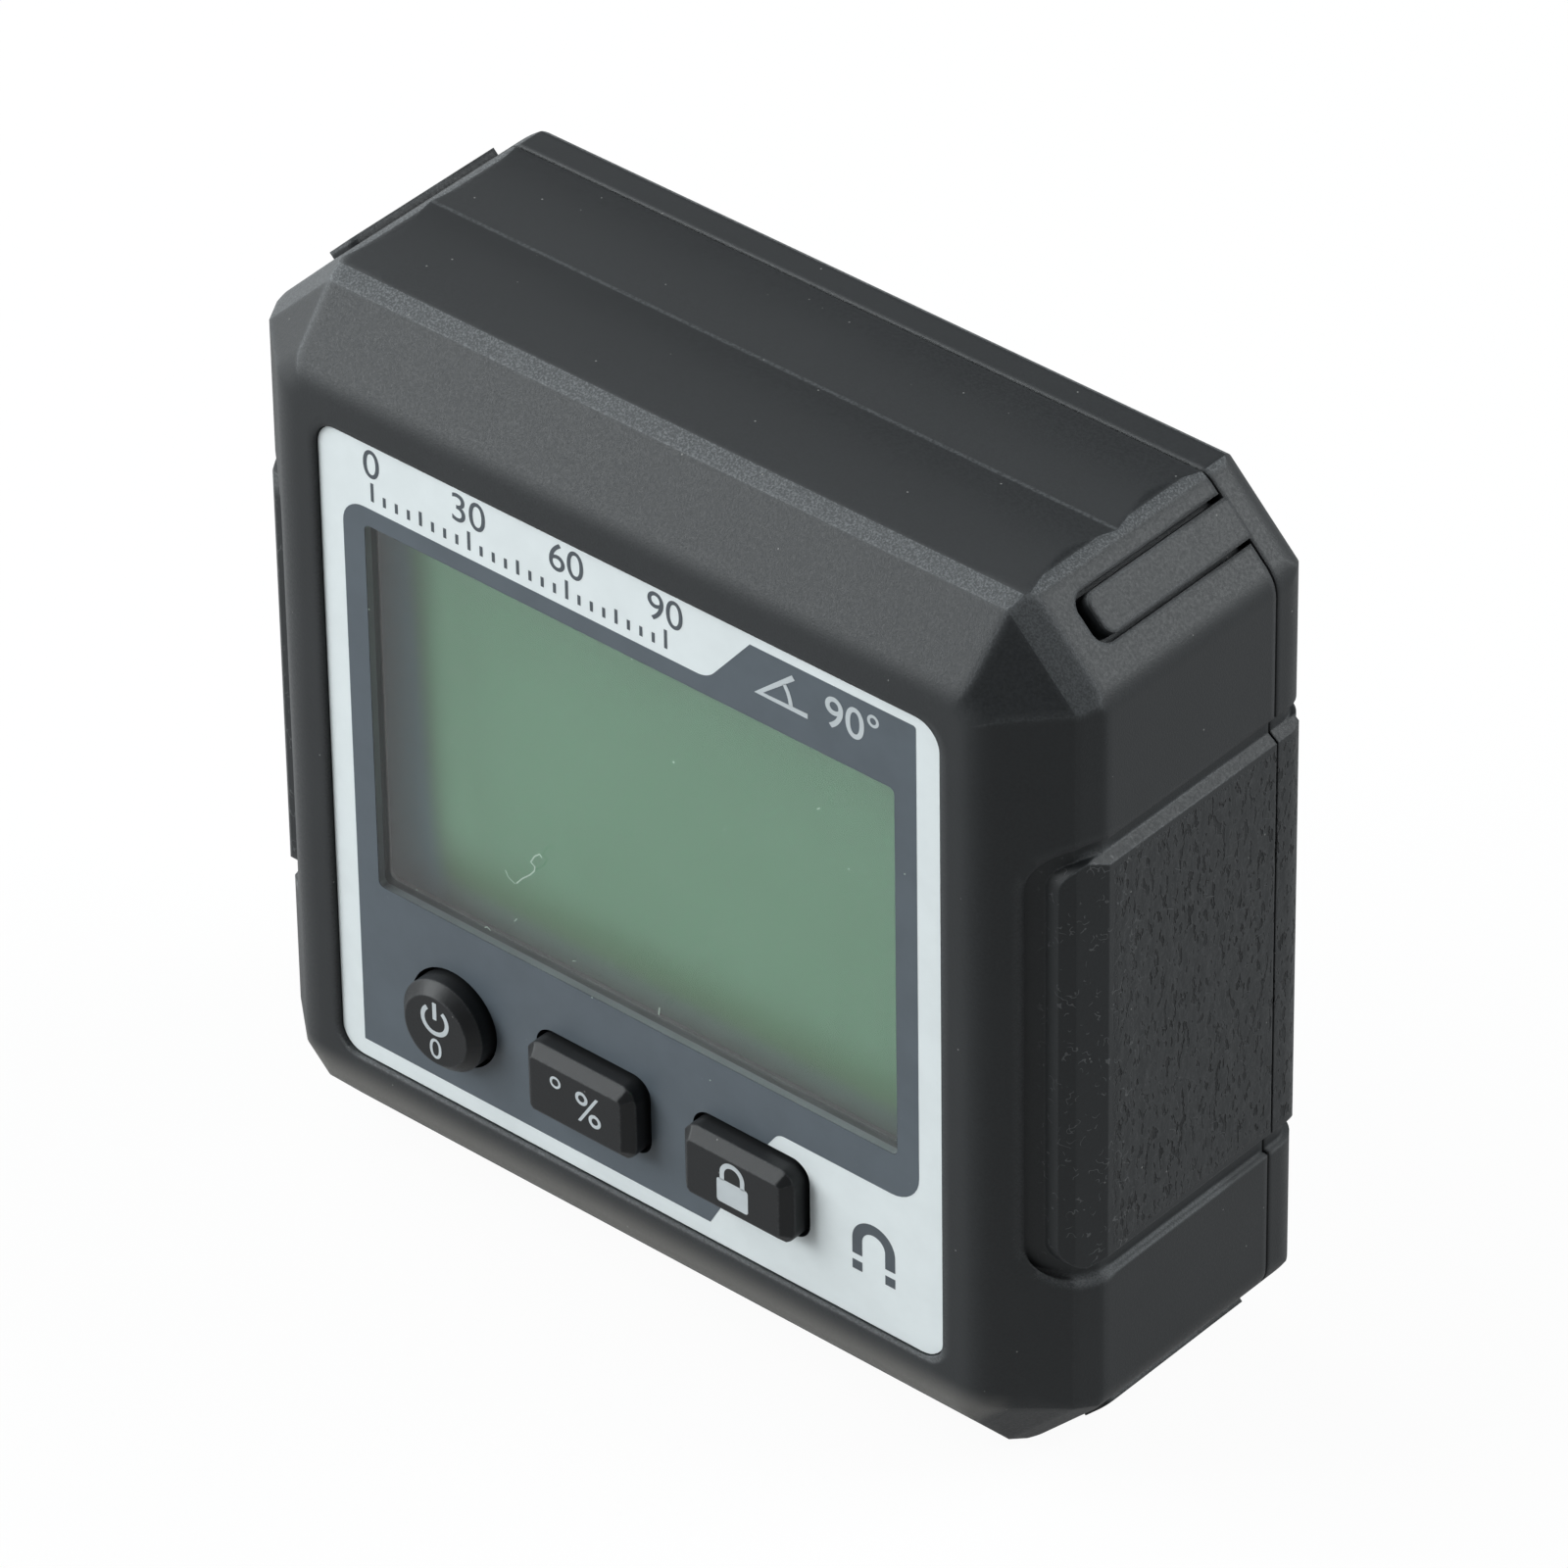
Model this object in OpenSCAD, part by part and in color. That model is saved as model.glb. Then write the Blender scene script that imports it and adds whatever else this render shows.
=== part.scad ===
// Digital angle gauge: a square box with a display, three keys and a magnetic base.
// It stands on its base at z = 0 with its face towards -Y. Sizes are in millimetres.

/* [Housing] */
// Width of the housing across its sides
body_w = 60; // [56:0.5:66]
// Height of the housing from base to top
body_h = 58.7; // [57:0.1:64]
// Depth of the housing from the front frame to the back
body_d = 22.8; // [20.6:0.1:25]
// Thickness of the housing's walls
wall = 1.8; // [1.4:0.1:2.2]
// Thickness of the front wall behind the face panel
front_wall = 1.15; // [0.9:0.05:1.4]
// Width of the front bevel, seen from the front
bevel_w = 4; // [3:0.1:4.4]
// Depth of the front bevel
bevel_d = 3.6; // [2.8:0.1:4]
// Width of the narrow strip between the bevel and the sides, seen from the front
strip_w = 0.8; // [0.4:0.1:1.2]
// Depth of the narrow strip
strip_d = 1.7; // [1:0.1:2.2]
// Radius between the flat front frame and the bevels
front_round = 2.6; // [1:0.1:3.2]
// Size of the chamfer on the four corners
corner_chamfer = 5.2; // [4.6:0.1:6]
// Radius on both edges of a corner chamfer
corner_round = 2.4; // [1:0.1:3]
// Flat width that the front frame loses at each of its corners
frame_corner_cut = 1; // [0.4:0.1:2]
// Radius of the back cover's rear edges
rear_round = 2.1; // [1:0.1:2.6]
// Depth of the back cover's rim, from the seam to the back
cover_rim = 3.3; // [2.8:0.1:3.8]
// Width of the seam's shadow gap
seam_gap = 0.15; // [0.1:0.05:0.3]
// Height of the slight crown on the two lands of the top
land_crown = 0.2; // [0.1:0.05:0.3]
// Thickness of the back cover's locating lip
lip_t = 0.9; // [0.6:0.1:1.1]
// Length of the locating lip
lip_len = 1.6; // [1:0.1:2.4]
// Clearance between the lip and the front housing
lip_clear = 0.15; // [0.1:0.05:0.25]

/* [Grip pads] */
// Height of the grained pad on each side
pad_h = 27; // [22:0.5:30]
// Depth at which the pad starts on the bevel
pad_front = 2.8; // [2.5:0.1:3.2]
// Corner radius of the pad
pad_corner = 1.3; // [0.6:0.1:2]
// Spread of the pad's sloping upper and lower walls, from its skin to the groove's floor
pad_taper = 0.45; // [0.2:0.05:0.6]
// Height of the pad above the surface round it
pad_proud = 0.2; // [0.1:0.05:0.3]
// Width of the groove round the pad
groove_w = 1.6; // [1:0.1:1.8]
// Depth of the groove
groove_depth = 0.4; // [0.2:0.05:0.6]

/* [Corner tongues] */
// Width of the tongue in each corner slot
tongue_w = 2.6; // [2:0.1:3]
// Depth at which the tongue ends, measured from the front
tongue_front = 7.45; // [6.6:0.05:9]
// Height of the tongue above the chamfer
tongue_proud = 0.5; // [0.3:0.05:0.7]
// Gap on each side of the tongue
tongue_gap = 0.3; // [0.2:0.05:0.4]
// Gap in front of the tongue
tongue_end_gap = 0.55; // [0.3:0.05:0.8]
// Corner radius of the tongue's front end
tongue_corner = 0.7; // [0.4:0.1:1]
// Depth of the slot below the chamfer
slot_depth = 0.9; // [0.6:0.05:1]

/* [Face panel] */
// Width of the printed face panel
panel_w = 45.2; // [44:0.1:46]
// Height of the face panel
panel_h = 43.8; // [43:0.1:44.6]
// Thickness of the face panel
panel_t = 1; // [0.8:0.05:1.2]
// Depth of the face panel below the front frame
panel_recess = 0.25; // [0.1:0.05:0.4]
// Corner radius of the face panel
panel_corner = 1.6; // [0.8:0.1:2.4]
// Clearance round the face panel
panel_clear = 0.1; // [0.05:0.05:0.2]
// Width of the opening behind the clear window
window_w = 39.6; // [37:0.1:40.5]
// Height of the opening behind the clear window
window_h = 26.2; // [24:0.1:26.6]
// Height of the window's centre above the panel's centre
window_lift = 3.6; // [3.4:0.1:4.4]
// Corner radius of the opening
window_corner = 0.8; // [0.4:0.1:1.5]

/* [Keys] */
// Diameter of the round key
round_key_d = 6; // [5.4:0.1:6.2]
// Width of a rectangular key
key_w = 8.1; // [7.4:0.1:8.4]
// Height of a rectangular key
key_h = 5; // [4.4:0.1:5.2]
// Corner radius of a rectangular key
key_corner = 1; // [0.6:0.1:1.6]
// Height of the keys above the front frame
key_proud = 1.4; // [1:0.1:1.8]
// Size of the chamfer on the keys' front edges
key_chamfer = 0.65; // [0.4:0.05:0.8]
// Clearance round a key
key_clear = 0.25; // [0.15:0.05:0.3]
// Gap between the display's pocket and the round key
key_gap = 0.5; // [0.4:0.05:1]
// Sideways place of the round key
round_key_x = -13.8; // [-14.4:0.1:-13.4]
// Sideways place of the middle key
unit_key_x = -3.2; // [-3.4:0.1:-2.6]
// Sideways place of the right key
hold_key_x = 8.55; // [8.2:0.05:9.4]
// Travel of a key
key_travel = 0.6; // [0.3:0.05:0.8]
// How far a key's flange reaches past its sides
flange_reach = 0.75; // [0.5:0.05:0.8]
// Thickness of a key's flange
flange_t = 0.8; // [0.6:0.05:1]
// Length of the pin behind a key's flange
pin_len = 0.3; // [0.2:0.05:0.5]
// Clearance between pieces that slide on or move past each other
slide_clear = 0.1; // [0.05:0.05:0.15]

/* [Display] */
// Width of the display cell
lcd_w = 44.4; // [42:0.1:45]
// Height of the display cell
lcd_h = 30.4; // [28:0.1:34]
// Thickness of the display cell
lcd_t = 2.2; // [1.6:0.1:2.4]
// Distance of the display cell behind the face panel's front
lcd_setback = 3.3; // [2.8:0.1:3.6]
// Height of the display cell's centre above the panel's centre
lcd_lift = 3.9; // [3.7:0.1:4.2]
// Width of the pocket's ledge that the display cell rests on
lcd_ledge = 0.8; // [0.5:0.1:1]
// Thickness of the pocket's walls
pocket_wall = 0.8; // [0.6:0.1:1]
// Clearance round the display cell
lcd_clear = 0.1; // [0.05:0.05:0.2]
// Thickness of the backlight
backlight_t = 1.6; // [1.2:0.1:2]
// Width of the backlight
backlight_w = 39; // [34:0.5:40]
// Height of the backlight
backlight_h = 25.6; // [22:0.1:26]
// Width of a connector strip
strip_connector_w = 40; // [34:0.5:42]
// Height of a connector strip
strip_connector_h = 1.4; // [1:0.1:1.6]

/* [Board] */
// Width of the circuit board
board_w = 51; // [50.4:0.1:52]
// Thickness of the circuit board
board_t = 1.2; // [0.8:0.1:1.3]
// Width of the board's edge above and below its screws
board_edge = 1.5; // [1:0.1:1.8]
// Gap between the board's cut corners and the posts of the case screws
board_clear = 0.5; // [0.3:0.1:0.8]
// Sideways place of the board's screws
board_screw_x = 16.5; // [15.5:0.1:17.5]
// Diameter of a board screw's shank
board_screw_d = 1.6; // [1.4:0.1:1.8]
// Length of a board screw's shank
board_screw_len = 4.6; // [3.6:0.1:5]
// Diameter of a board screw's head
board_head_d = 2.8; // [2.4:0.1:2.9]
// Height of a board screw's head
board_head_h = 1; // [0.8:0.1:1.2]
// Diameter of the posts that carry the board
board_post_d = 3.4; // [3:0.1:3.6]
// Gap between those posts and the display's pocket or the keys
post_gap = 0.3; // [0.2:0.05:0.5]
// Width of a push switch
switch_w = 5; // [4.4:0.1:5.4]
// Diameter of a push switch's stem
switch_stem_d = 2.4; // [2:0.1:3]
// Length of a push switch's stem
switch_stem_len = 0.4; // [0.3:0.05:0.6]
// Width of the controller chip
controller_w = 7; // [6:0.5:8]
// Thickness of the controller chip
controller_t = 1.2; // [0.9:0.1:1.5]
// Width of the tilt sensor
sensor_w = 5; // [4:0.5:6]
// Thickness of the tilt sensor
sensor_t = 1.1; // [0.8:0.1:1.4]
// Sideways place of the controller chip
controller_x = 18.5; // [17.5:0.5:20]
// Sideways place of the tilt sensor
sensor_x = -20.5; // [-22:0.5:-20]

/* [Battery] */
// Length of a battery cell with its terminal
cell_len = 44.5; // [43:0.1:45]
// Diameter of a cell's positive terminal
terminal_d = 3.8; // [3:0.1:4.5]
// Length of a cell's positive terminal
terminal_len = 0.8; // [0.6:0.1:1.2]
// Free space between the two cells and round them
cell_clear = 0.3; // [0.2:0.05:0.4]
// Length of a contact spring as it is pressed
spring_len = 4.6; // [4:0.1:5]
// Thickness of a contact spring's wire
spring_wire = 0.5; // [0.3:0.05:0.6]
// Radius of a contact spring at its plate
spring_r_plate = 3.2; // [2.6:0.1:3.6]
// Radius of a contact spring at its cell
spring_r_cell = 2; // [1.6:0.1:2.4]
// Turns of a contact spring
spring_turns = 4; // [3:1:5]
// Thickness of a contact plate
contact_t = 0.35; // [0.3:0.05:0.5]
// Height and width of a contact plate
contact_w = 8.4; // [7:0.1:9]
// Width of a contact plate's solder tail
tail_w = 2; // [1.4:0.1:2.6]
// Thickness of the bay's walls
bay_wall = 0.9; // [0.7:0.1:1.2]
// Gap between the board and the bay
bay_gap = 0.45; // [0.3:0.05:0.8]
// Thickness of the battery door
door_t = 1; // [0.8:0.05:1.1]
// Width of the rim that the door rests on
door_rim = 1.2; // [0.8:0.1:1.4]
// Clearance round the door
door_clear = 0.2; // [0.1:0.05:0.3]
// Corner radius of the door
door_corner = 1.6; // [1:0.1:2.5]
// Width of a hook tab
tab_w = 6; // [4:0.5:8]
// Distance of each hook tab from the middle
tab_x = 14; // [10:0.5:18]
// How far a hook tab reaches under the back wall
tab_reach = 1; // [0.6:0.1:1.2]
// Thickness of a hook tab
tab_t = 0.8; // [0.6:0.05:0.9]
// Width of the latch tongue
latch_w = 9; // [7:0.5:12]
// Length of the latch tongue
latch_len = 5; // [4:0.25:6]
// Width of the slits beside the latch tongue
latch_slit = 0.6; // [0.4:0.1:0.8]
// Radius of the thumb scoop above the latch
scoop_r = 4; // [3:0.1:5]
// Depth of the thumb scoop
scoop_depth = 0.8; // [0.6:0.05:0.9]

/* [Base and screws] */
// Diameter of a base magnet
magnet_d = 10; // [8:0.5:11]
// Thickness of a base magnet
magnet_t = 2.6; // [2:0.1:3]
// Distance of each magnet from the middle
magnet_x = 15; // [12:0.5:16]
// Width of the lip that keeps a magnet in
magnet_lip = 0.6; // [0.4:0.1:1]
// Thickness of that lip
magnet_lip_t = 0.4; // [0.3:0.05:0.6]
// Thickness of the ring round a magnet
magnet_ring = 0.9; // [0.7:0.1:1.2]
// Clearance round a magnet
magnet_clear = 0.1; // [0.05:0.05:0.2]
// Distance of the case screws from the sides
case_screw_side = 5; // [4.8:0.1:5.4]
// Distance of the case screws from the base and from the top
case_screw_end = 6.75; // [6.5:0.05:7]
// Diameter of a case screw's shank
case_screw_d = 2.2; // [1.8:0.1:2.4]
// Length of a case screw's shank
case_screw_len = 9; // [6:0.5:12]
// Diameter of a case screw's head
case_head_d = 3.8; // [3.4:0.1:3.8]
// Height of a case screw's head
case_head_h = 1.3; // [1:0.1:1.4]
// Depth of a case screw's head below the back
case_head_sink = 0.4; // [0.2:0.05:0.5]
// Width of each arm of the cross in a case screw's head
cross_w = 0.65; // [0.5:0.05:0.8]
// Length of the cross
cross_len = 2.3; // [2:0.1:2.6]
// Diameter of the posts that the case screws hold together
case_post_d = 4.8; // [4.4:0.1:5]
// Clearance round screw heads and shanks
screw_clear = 0.1; // [0.05:0.05:0.15]

/* [Hidden] */
$fn = 64;
// Fineness of the contact springs: steps to a turn, and sides of the wire
spring_steps = 16;
spring_sides = 8;

// Small overrun that takes a cut past the face it starts from
past = 0.5;
// The front frame's place, which centres the box with its keys on the origin
front_y = -(body_d - key_proud) / 2;
mid_z = body_h / 2;
half_w = body_w / 2;
// Distance from the middle to a corner chamfer, along the diagonal
chamfer_reach = (half_w + mid_z - corner_chamfer) / sqrt(2);
frame_half_w = half_w - strip_w - bevel_w;
frame_half_h = mid_z - strip_w - bevel_w;
frame_corner_reach = (frame_half_w + frame_half_h - frame_corner_cut) / sqrt(2);
side_start = bevel_d + strip_d;
bevel_slope = sqrt(bevel_w * bevel_w + bevel_d * bevel_d);
// Depths behind the front frame
seam_depth = body_d - cover_rim;
panel_back = panel_recess + panel_t;
cavity_front = panel_back + front_wall;
lcd_front = panel_recess + lcd_setback;
lcd_step = lcd_front + lcd_t / 2;
lcd_back = lcd_front + lcd_t;
board_front = lcd_back + backlight_t;
board_back = board_front + board_t;
cavity_back = body_d - wall;
door_inner = body_d - door_t;
lip_front = seam_depth - lip_len;
post_end = lip_front - lip_clear;
// Battery bay. The cells are as thick as the depth behind the board allows, which is an AAA cell's 10.5 here
bay_floor = board_back + bay_gap + bay_wall;
cell_d = cavity_back - bay_floor - 2 * cell_clear;
cell_axis = bay_floor + cell_clear + cell_d / 2;
bay_len = cell_len + spring_len + 2 * contact_t;
bay_h = 2 * cell_d + 3 * cell_clear;
bay_low = mid_z - bay_h / 2;
bay_high = mid_z + bay_h / 2;
cell_rise = (cell_d + cell_clear) / 2;
hook_back = cavity_back - slide_clear;
hook_front = hook_back - tab_t;
door_seat = door_inner + slide_clear;
// The top's two lands
land_len = (seam_depth - side_start) / 2;
land_r = (land_len * land_len / 4 + land_crown * land_crown) / (2 * land_crown);
// Display
lcd_z = mid_z + lcd_lift;
window_z = mid_z + window_lift;
pocket_reach = lcd_h / 2 + lcd_clear + pocket_wall;
// Height that the front glass leaves free for each connector strip
glass_ledge = 2 * strip_connector_h;
// Keys
key_z = lcd_z - pocket_reach - key_gap - round_key_d / 2;
flange_front = cavity_front + slide_clear;
flange_back = flange_front + flange_t;
pin_back = flange_back + pin_len;
stem_front = pin_back + key_travel + slide_clear;
switch_front = stem_front + switch_stem_len;
rect_keys_x = [unit_key_x, hold_key_x];
// Board and screws
board_screw_high = lcd_z + pocket_reach + post_gap + board_post_d / 2;
board_screw_low = key_z - round_key_d / 2 - key_clear - post_gap - board_post_d / 2;
board_high = board_screw_high + board_edge;
board_low = board_screw_low - board_edge;
// The chips lie midway between the lower connector strip and the lower posts
chip_z = (lcd_z - lcd_h / 2 + strip_connector_h / 2 + board_screw_low + board_post_d / 2) / 2;
board_screws_at = [for (x = [-1, 1], z = [board_screw_high, board_screw_low]) [x * board_screw_x, z]];
case_screw_x = half_w - case_screw_side;
case_screw_z = mid_z - case_screw_end;
case_screws_at = [for (x = [-1, 1], z = [-1, 1]) [x * case_screw_x, mid_z + z * case_screw_z]];
case_seat = body_d - case_head_sink - case_head_h;
// Base
magnet_depth = (side_start + lip_front) / 2;

black = "#2b2d2f";
panel_white = "#d7e1e4";
lcd_green = "#6c9178";
metal = "#b9bcc0";
board_green = "#1f5a3a";

// Extrudes an XZ shape between two depths behind the front frame
module slab(from, to) {
    translate([0, front_y + to, 0]) rotate([90, 0, 0]) linear_extrude(to - from) children();
}

// Extrudes a depth-height profile along X
module along_x(from, to) {
    translate([from, front_y, 0]) rotate([90, 0, 90]) linear_extrude(to - from) children();
}

// Extrudes a width-depth profile along Z
module along_z(from, to) {
    translate([0, front_y, from]) linear_extrude(to - from) children();
}

// Extrudes a reach-depth profile across one diagonal of the front
module along_diagonal(turn) {
    translate([0, front_y, mid_z]) rotate([0, turn, 0]) translate([0, 0, -body_w]) linear_extrude(2 * body_w)
        children();
}

// A round bar along the depth
module pin(at, d, from, to) {
    slab(from, to) translate(at) circle(d = d);
}

function unit(v) = v / norm(v);
function corner_angle(p, a, b) = acos(unit(a - p) * unit(b - p));
function tangent_back(p, a, b, r) = r / tan(corner_angle(p, a, b) / 2);
function arc_centre(p, a, b, r) = p + unit(unit(a - p) + unit(b - p)) * r / sin(corner_angle(p, a, b) / 2);
function before(points, i) = points[(i + len(points) - 1) % len(points)];
function after(points, i) = points[(i + 1) % len(points)];
// The same convex outline with every side moved inwards
function set_in(points, depth) = depth == 0 ? points :
    [for (i = [0:len(points) - 1]) arc_centre(points[i], before(points, i), after(points, i), depth)];

// What a radius takes off one corner of an outline
module corner_waste(p, a, b, r) {
    centre = arc_centre(p, a, b, r);
    k = tangent_back(p, a, b, r);
    difference() {
        polygon([p + unit(a - p) * k, p + (p - centre), p + unit(b - p) * k, centre]);
        translate(centre) circle(r);
    }
}

// A convex outline with its own radius at each corner
module round_outline(points, radii) {
    difference() {
        polygon(points);
        for (i = [0:len(points) - 1])
            if (radii[i] > 0)
                corner_waste(points[i], before(points, i), after(points, i), radii[i]);
    }
}

module round_box(w, h, r) {
    round_outline([[-w / 2, -h / 2], [w / 2, -h / 2], [w / 2, h / 2], [-w / 2, h / 2]], [r, r, r, r]);
}

// Outline of the housing seen from the front, set in from the real one, with rounded or sharp corners
module front_outline(inset, soft) {
    c = corner_chamfer;
    w = half_w;
    h = mid_z;
    r = soft ? corner_round - inset : 0;
    points = [[w - c, h], [w, h - c], [w, c - h], [w - c, -h], [c - w, -h], [-w, c - h], [-w, h - c], [c - w, h]];
    translate([0, mid_z]) round_outline(set_in(points, inset), [for (p = points) r]);
}

// Section through the bevel and strip of two opposite edges: depth against half width
module edge_section(front_half, half, inset) {
    front_r = front_round - inset;
    rear_r = rear_round - inset;
    points = [[0, front_half], [bevel_d, half - strip_w], [side_start, half], [body_d, half], [body_d, -half],
              [side_start, -half], [bevel_d, strip_w - half], [0, -front_half]];
    round_outline(set_in(points, inset), [front_r, 0, 0, rear_r, rear_r, 0, 0, front_r]);
}

// The outer form of the closed housing, or the same form set in
module outer_form(inset = 0) {
    intersection() {
        slab(0, body_d) front_outline(inset, true);
        along_x(-body_w, body_w) translate([0, mid_z]) edge_section(frame_half_h, mid_z, inset);
        along_z(-body_h, 2 * body_h) mirror([1, -1]) edge_section(frame_half_w, half_w, inset);
        along_diagonal(-45) mirror([1, -1]) edge_section(frame_corner_reach, chamfer_reach, inset);
        along_diagonal(45) mirror([1, -1]) edge_section(frame_corner_reach, chamfer_reach, inset);
    }
}

// Room behind the bevels of two opposite edges, a wall's thickness inside them
module bevel_room(front_half, half) {
    rise = half - strip_w - front_half;
    start = [0, front_half] + wall * unit([rise, -bevel_d]);
    end = start + 2 * [bevel_d, rise];
    rear = body_d + past;
    polygon([start, end, [rear, end[1]], [rear, -end[1]], [end[0], -end[1]], [start[0], -start[1]]]);
}

// The hollow of the front housing
module cavity() {
    intersection() {
        slab(cavity_front, seam_depth + past) front_outline(wall, false);
        along_x(-body_w, body_w) translate([0, mid_z]) bevel_room(frame_half_h, mid_z);
        along_z(-body_h, 2 * body_h) mirror([1, -1]) bevel_room(frame_half_w, half_w);
        along_diagonal(-45) mirror([1, -1]) bevel_room(frame_corner_reach, chamfer_reach);
        along_diagonal(45) mirror([1, -1]) bevel_room(frame_corner_reach, chamfer_reach);
    }
}

module between(from, to) {
    slab(from, to) translate([-body_w, -body_h]) square([2 * body_w, 3 * body_h]);
}

// What lies above the two slightly crowned lands of the top
module above_lands() {
    along_x(-body_w, body_w) difference() {
        translate([bevel_d, body_h - strip_w]) square([body_d, strip_w + past]);
        for (land = [0, 1])
            translate([side_start + (land + 1 / 2) * land_len, body_h - land_r]) circle(land_r);
    }
}

// Outline of a grip pad or its groove, seen from the side and open to the rear
module pad_outline(front, rear, h, r) {
    round_outline([[front, -h / 2], [rear, -h / 2], [rear, h / 2], [front, h / 2]], [r, 0, 0, r]);
}

// Extrudes a side outline through the outer wall of both sides
module on_sides() {
    for (side = [0, 1])
        mirror([side, 0, 0]) along_x(frame_half_w + bevel_w / 4, half_w + past) translate([0, mid_z]) children();
}

// The room of both pads, with walls that slope from the skin to the groove's floor
module pad_room(rear) {
    skin = [half_w + pad_proud, pad_h / 2];
    foot = [half_w - groove_depth, pad_h / 2 + pad_taper];
    intersection() {
        on_sides() pad_outline(pad_front, rear, pad_h + 2 * pad_taper, pad_corner + pad_taper);
        slab(0, rear + past) translate([0, mid_z])
            polygon([skin, foot, [-foot[0], foot[1]], [-skin[0], skin[1]], -skin, -foot, [foot[0], -foot[1]],
                     [skin[0], -skin[1]]]);
    }
}

// Grooves round the grip pads, which run over the bevel, the side and the rear edge
module pad_grooves() {
    front = pad_front - groove_w * bevel_d / bevel_slope;
    rear = body_d + past;
    difference() {
        on_sides() pad_outline(front, rear, pad_h + 2 * groove_w, pad_corner + groove_w);
        pad_room(rear + past);
        outer_form(groove_depth);
    }
}

// The pads' raised skin between two depths
module pads(from, to) {
    difference() {
        intersection() {
            outer_form(-pad_proud);
            pad_room(body_d - rear_round / 2);
            between(from, to);
        }
        outer_form(groove_depth);
    }
}

// Places its children on each corner chamfer, with X along the chamfer, Y into the depth and Z outwards
module on_corners() {
    for (turn = [45, 135, 225, 315])
        translate([0, front_y, mid_z]) rotate([0, turn, 0]) translate([0, 0, chamfer_reach]) children();
}

// A bar along a corner chamfer with a rounded front end
module corner_bar(w, from, to, r, low, high) {
    on_corners() translate([0, 0, low]) linear_extrude(high - low)
        round_outline([[-w / 2, from], [w / 2, from], [w / 2, to], [-w / 2, to]], [r, r, 0, 0]);
}

module corner_slots() {
    corner_bar(tongue_w + 2 * tongue_gap, tongue_front - tongue_end_gap, body_d, tongue_corner + tongue_gap,
               -slot_depth, corner_chamfer);
}

// Holes for the keys, as a flat shape
module key_holes() {
    translate([round_key_x, key_z]) circle(d = round_key_d + 2 * key_clear);
    for (x = rect_keys_x)
        translate([x, key_z]) round_box(key_w + 2 * key_clear, key_h + 2 * key_clear, key_corner + key_clear);
}

// Pocket that holds the display cell against the front wall
module lcd_pocket() {
    seat_w = lcd_w + 2 * lcd_clear;
    seat_h = lcd_h + 2 * lcd_clear;
    outer = [seat_w + 2 * pocket_wall, 2 * pocket_reach];
    difference() {
        slab(panel_back + front_wall / 2, lcd_step) translate([0, lcd_z]) square(outer, center = true);
        slab(panel_back, lcd_back) translate([0, lcd_z])
            square([lcd_w - 2 * lcd_ledge, lcd_h - 2 * lcd_ledge], center = true);
        slab(lcd_front, lcd_back) translate([0, lcd_z]) square([seat_w, seat_h], center = true);
    }
}

// Rings that stand round the magnets on the inside of the base, clear of the locating lip
module magnet_rings() {
    intersection() {
        for (x = [-magnet_x, magnet_x])
            translate([x, front_y + magnet_depth, wall / 2])
                cylinder(d = magnet_d + 2 * magnet_clear + 2 * magnet_ring, h = magnet_lip_t + magnet_t - wall / 2);
        between(0, post_end);
    }
}

module magnet_bores() {
    for (x = [-magnet_x, magnet_x])
        translate([x, front_y + magnet_depth, 0]) {
            translate([0, 0, magnet_lip_t]) cylinder(d = magnet_d + 2 * magnet_clear, h = magnet_t + past);
            translate([0, 0, -past]) cylinder(d = magnet_d - 2 * magnet_lip, h = 2 * past + magnet_lip_t);
        }
}

module front_shell() {
    difference() {
        intersection() {
            outer_form();
            between(0, seam_depth);
        }
        above_lands();
        cavity();
    }
}

module front_housing() {
    color(black) difference() {
        union() {
            front_shell();
            pads(0, seam_depth);
            lcd_pocket();
            magnet_rings();
            for (at = board_screws_at) pin(at, board_post_d, panel_back + front_wall / 2, board_front);
            for (at = case_screws_at) pin(at, case_post_d, bevel_d, post_end);
        }
        pad_grooves();
        corner_slots();
        magnet_bores();
        slab(-past, panel_back) translate([0, mid_z])
            round_box(panel_w + 2 * panel_clear, panel_h + 2 * panel_clear, panel_corner + panel_clear);
        slab(panel_recess, cavity_front + past) translate([0, window_z])
            round_box(window_w, window_h, window_corner);
        slab(panel_recess, cavity_front + past) key_holes();
        for (at = board_screws_at)
            pin(at, board_screw_d + screw_clear, board_back - board_screw_len - screw_clear, board_front + past);
        for (at = case_screws_at)
            pin(at, case_screw_d + screw_clear, case_seat - case_screw_len - screw_clear, seam_depth);
    }
}

// The back cover's outer wall, hollow inside
module rear_shell() {
    start = seam_depth + seam_gap;
    difference() {
        intersection() {
            outer_form();
            between(start, body_d);
            translate([0, 0, -land_crown]) linear_extrude(body_h) square(4 * body_w, center = true);
        }
        slab(start - past, cavity_back) front_outline(wall + lip_clear + lip_t, false);
    }
}

// The lip that fits inside the front housing's rear edge
module locating_lip() {
    slab(lip_front, seam_depth + past) difference() {
        front_outline(wall + lip_clear, false);
        front_outline(wall + lip_clear + lip_t, false);
    }
}

module battery_bay() {
    slab(bay_floor - bay_wall, cavity_back + wall / 2) translate([0, mid_z])
        square([bay_len + 2 * bay_wall, bay_h + 2 * bay_wall], center = true);
}

// Place of the door in the back cover, as a flat shape
module door_outline(gap) {
    side = bay_len / 2 + door_rim + gap;
    low = bay_low + door_clear - gap;
    high = bay_high + door_rim + gap;
    round_outline([[-side, low], [side, low], [side, high], [-side, high]],
                  [door_corner / 2, door_corner / 2, door_corner, door_corner]);
}

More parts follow.
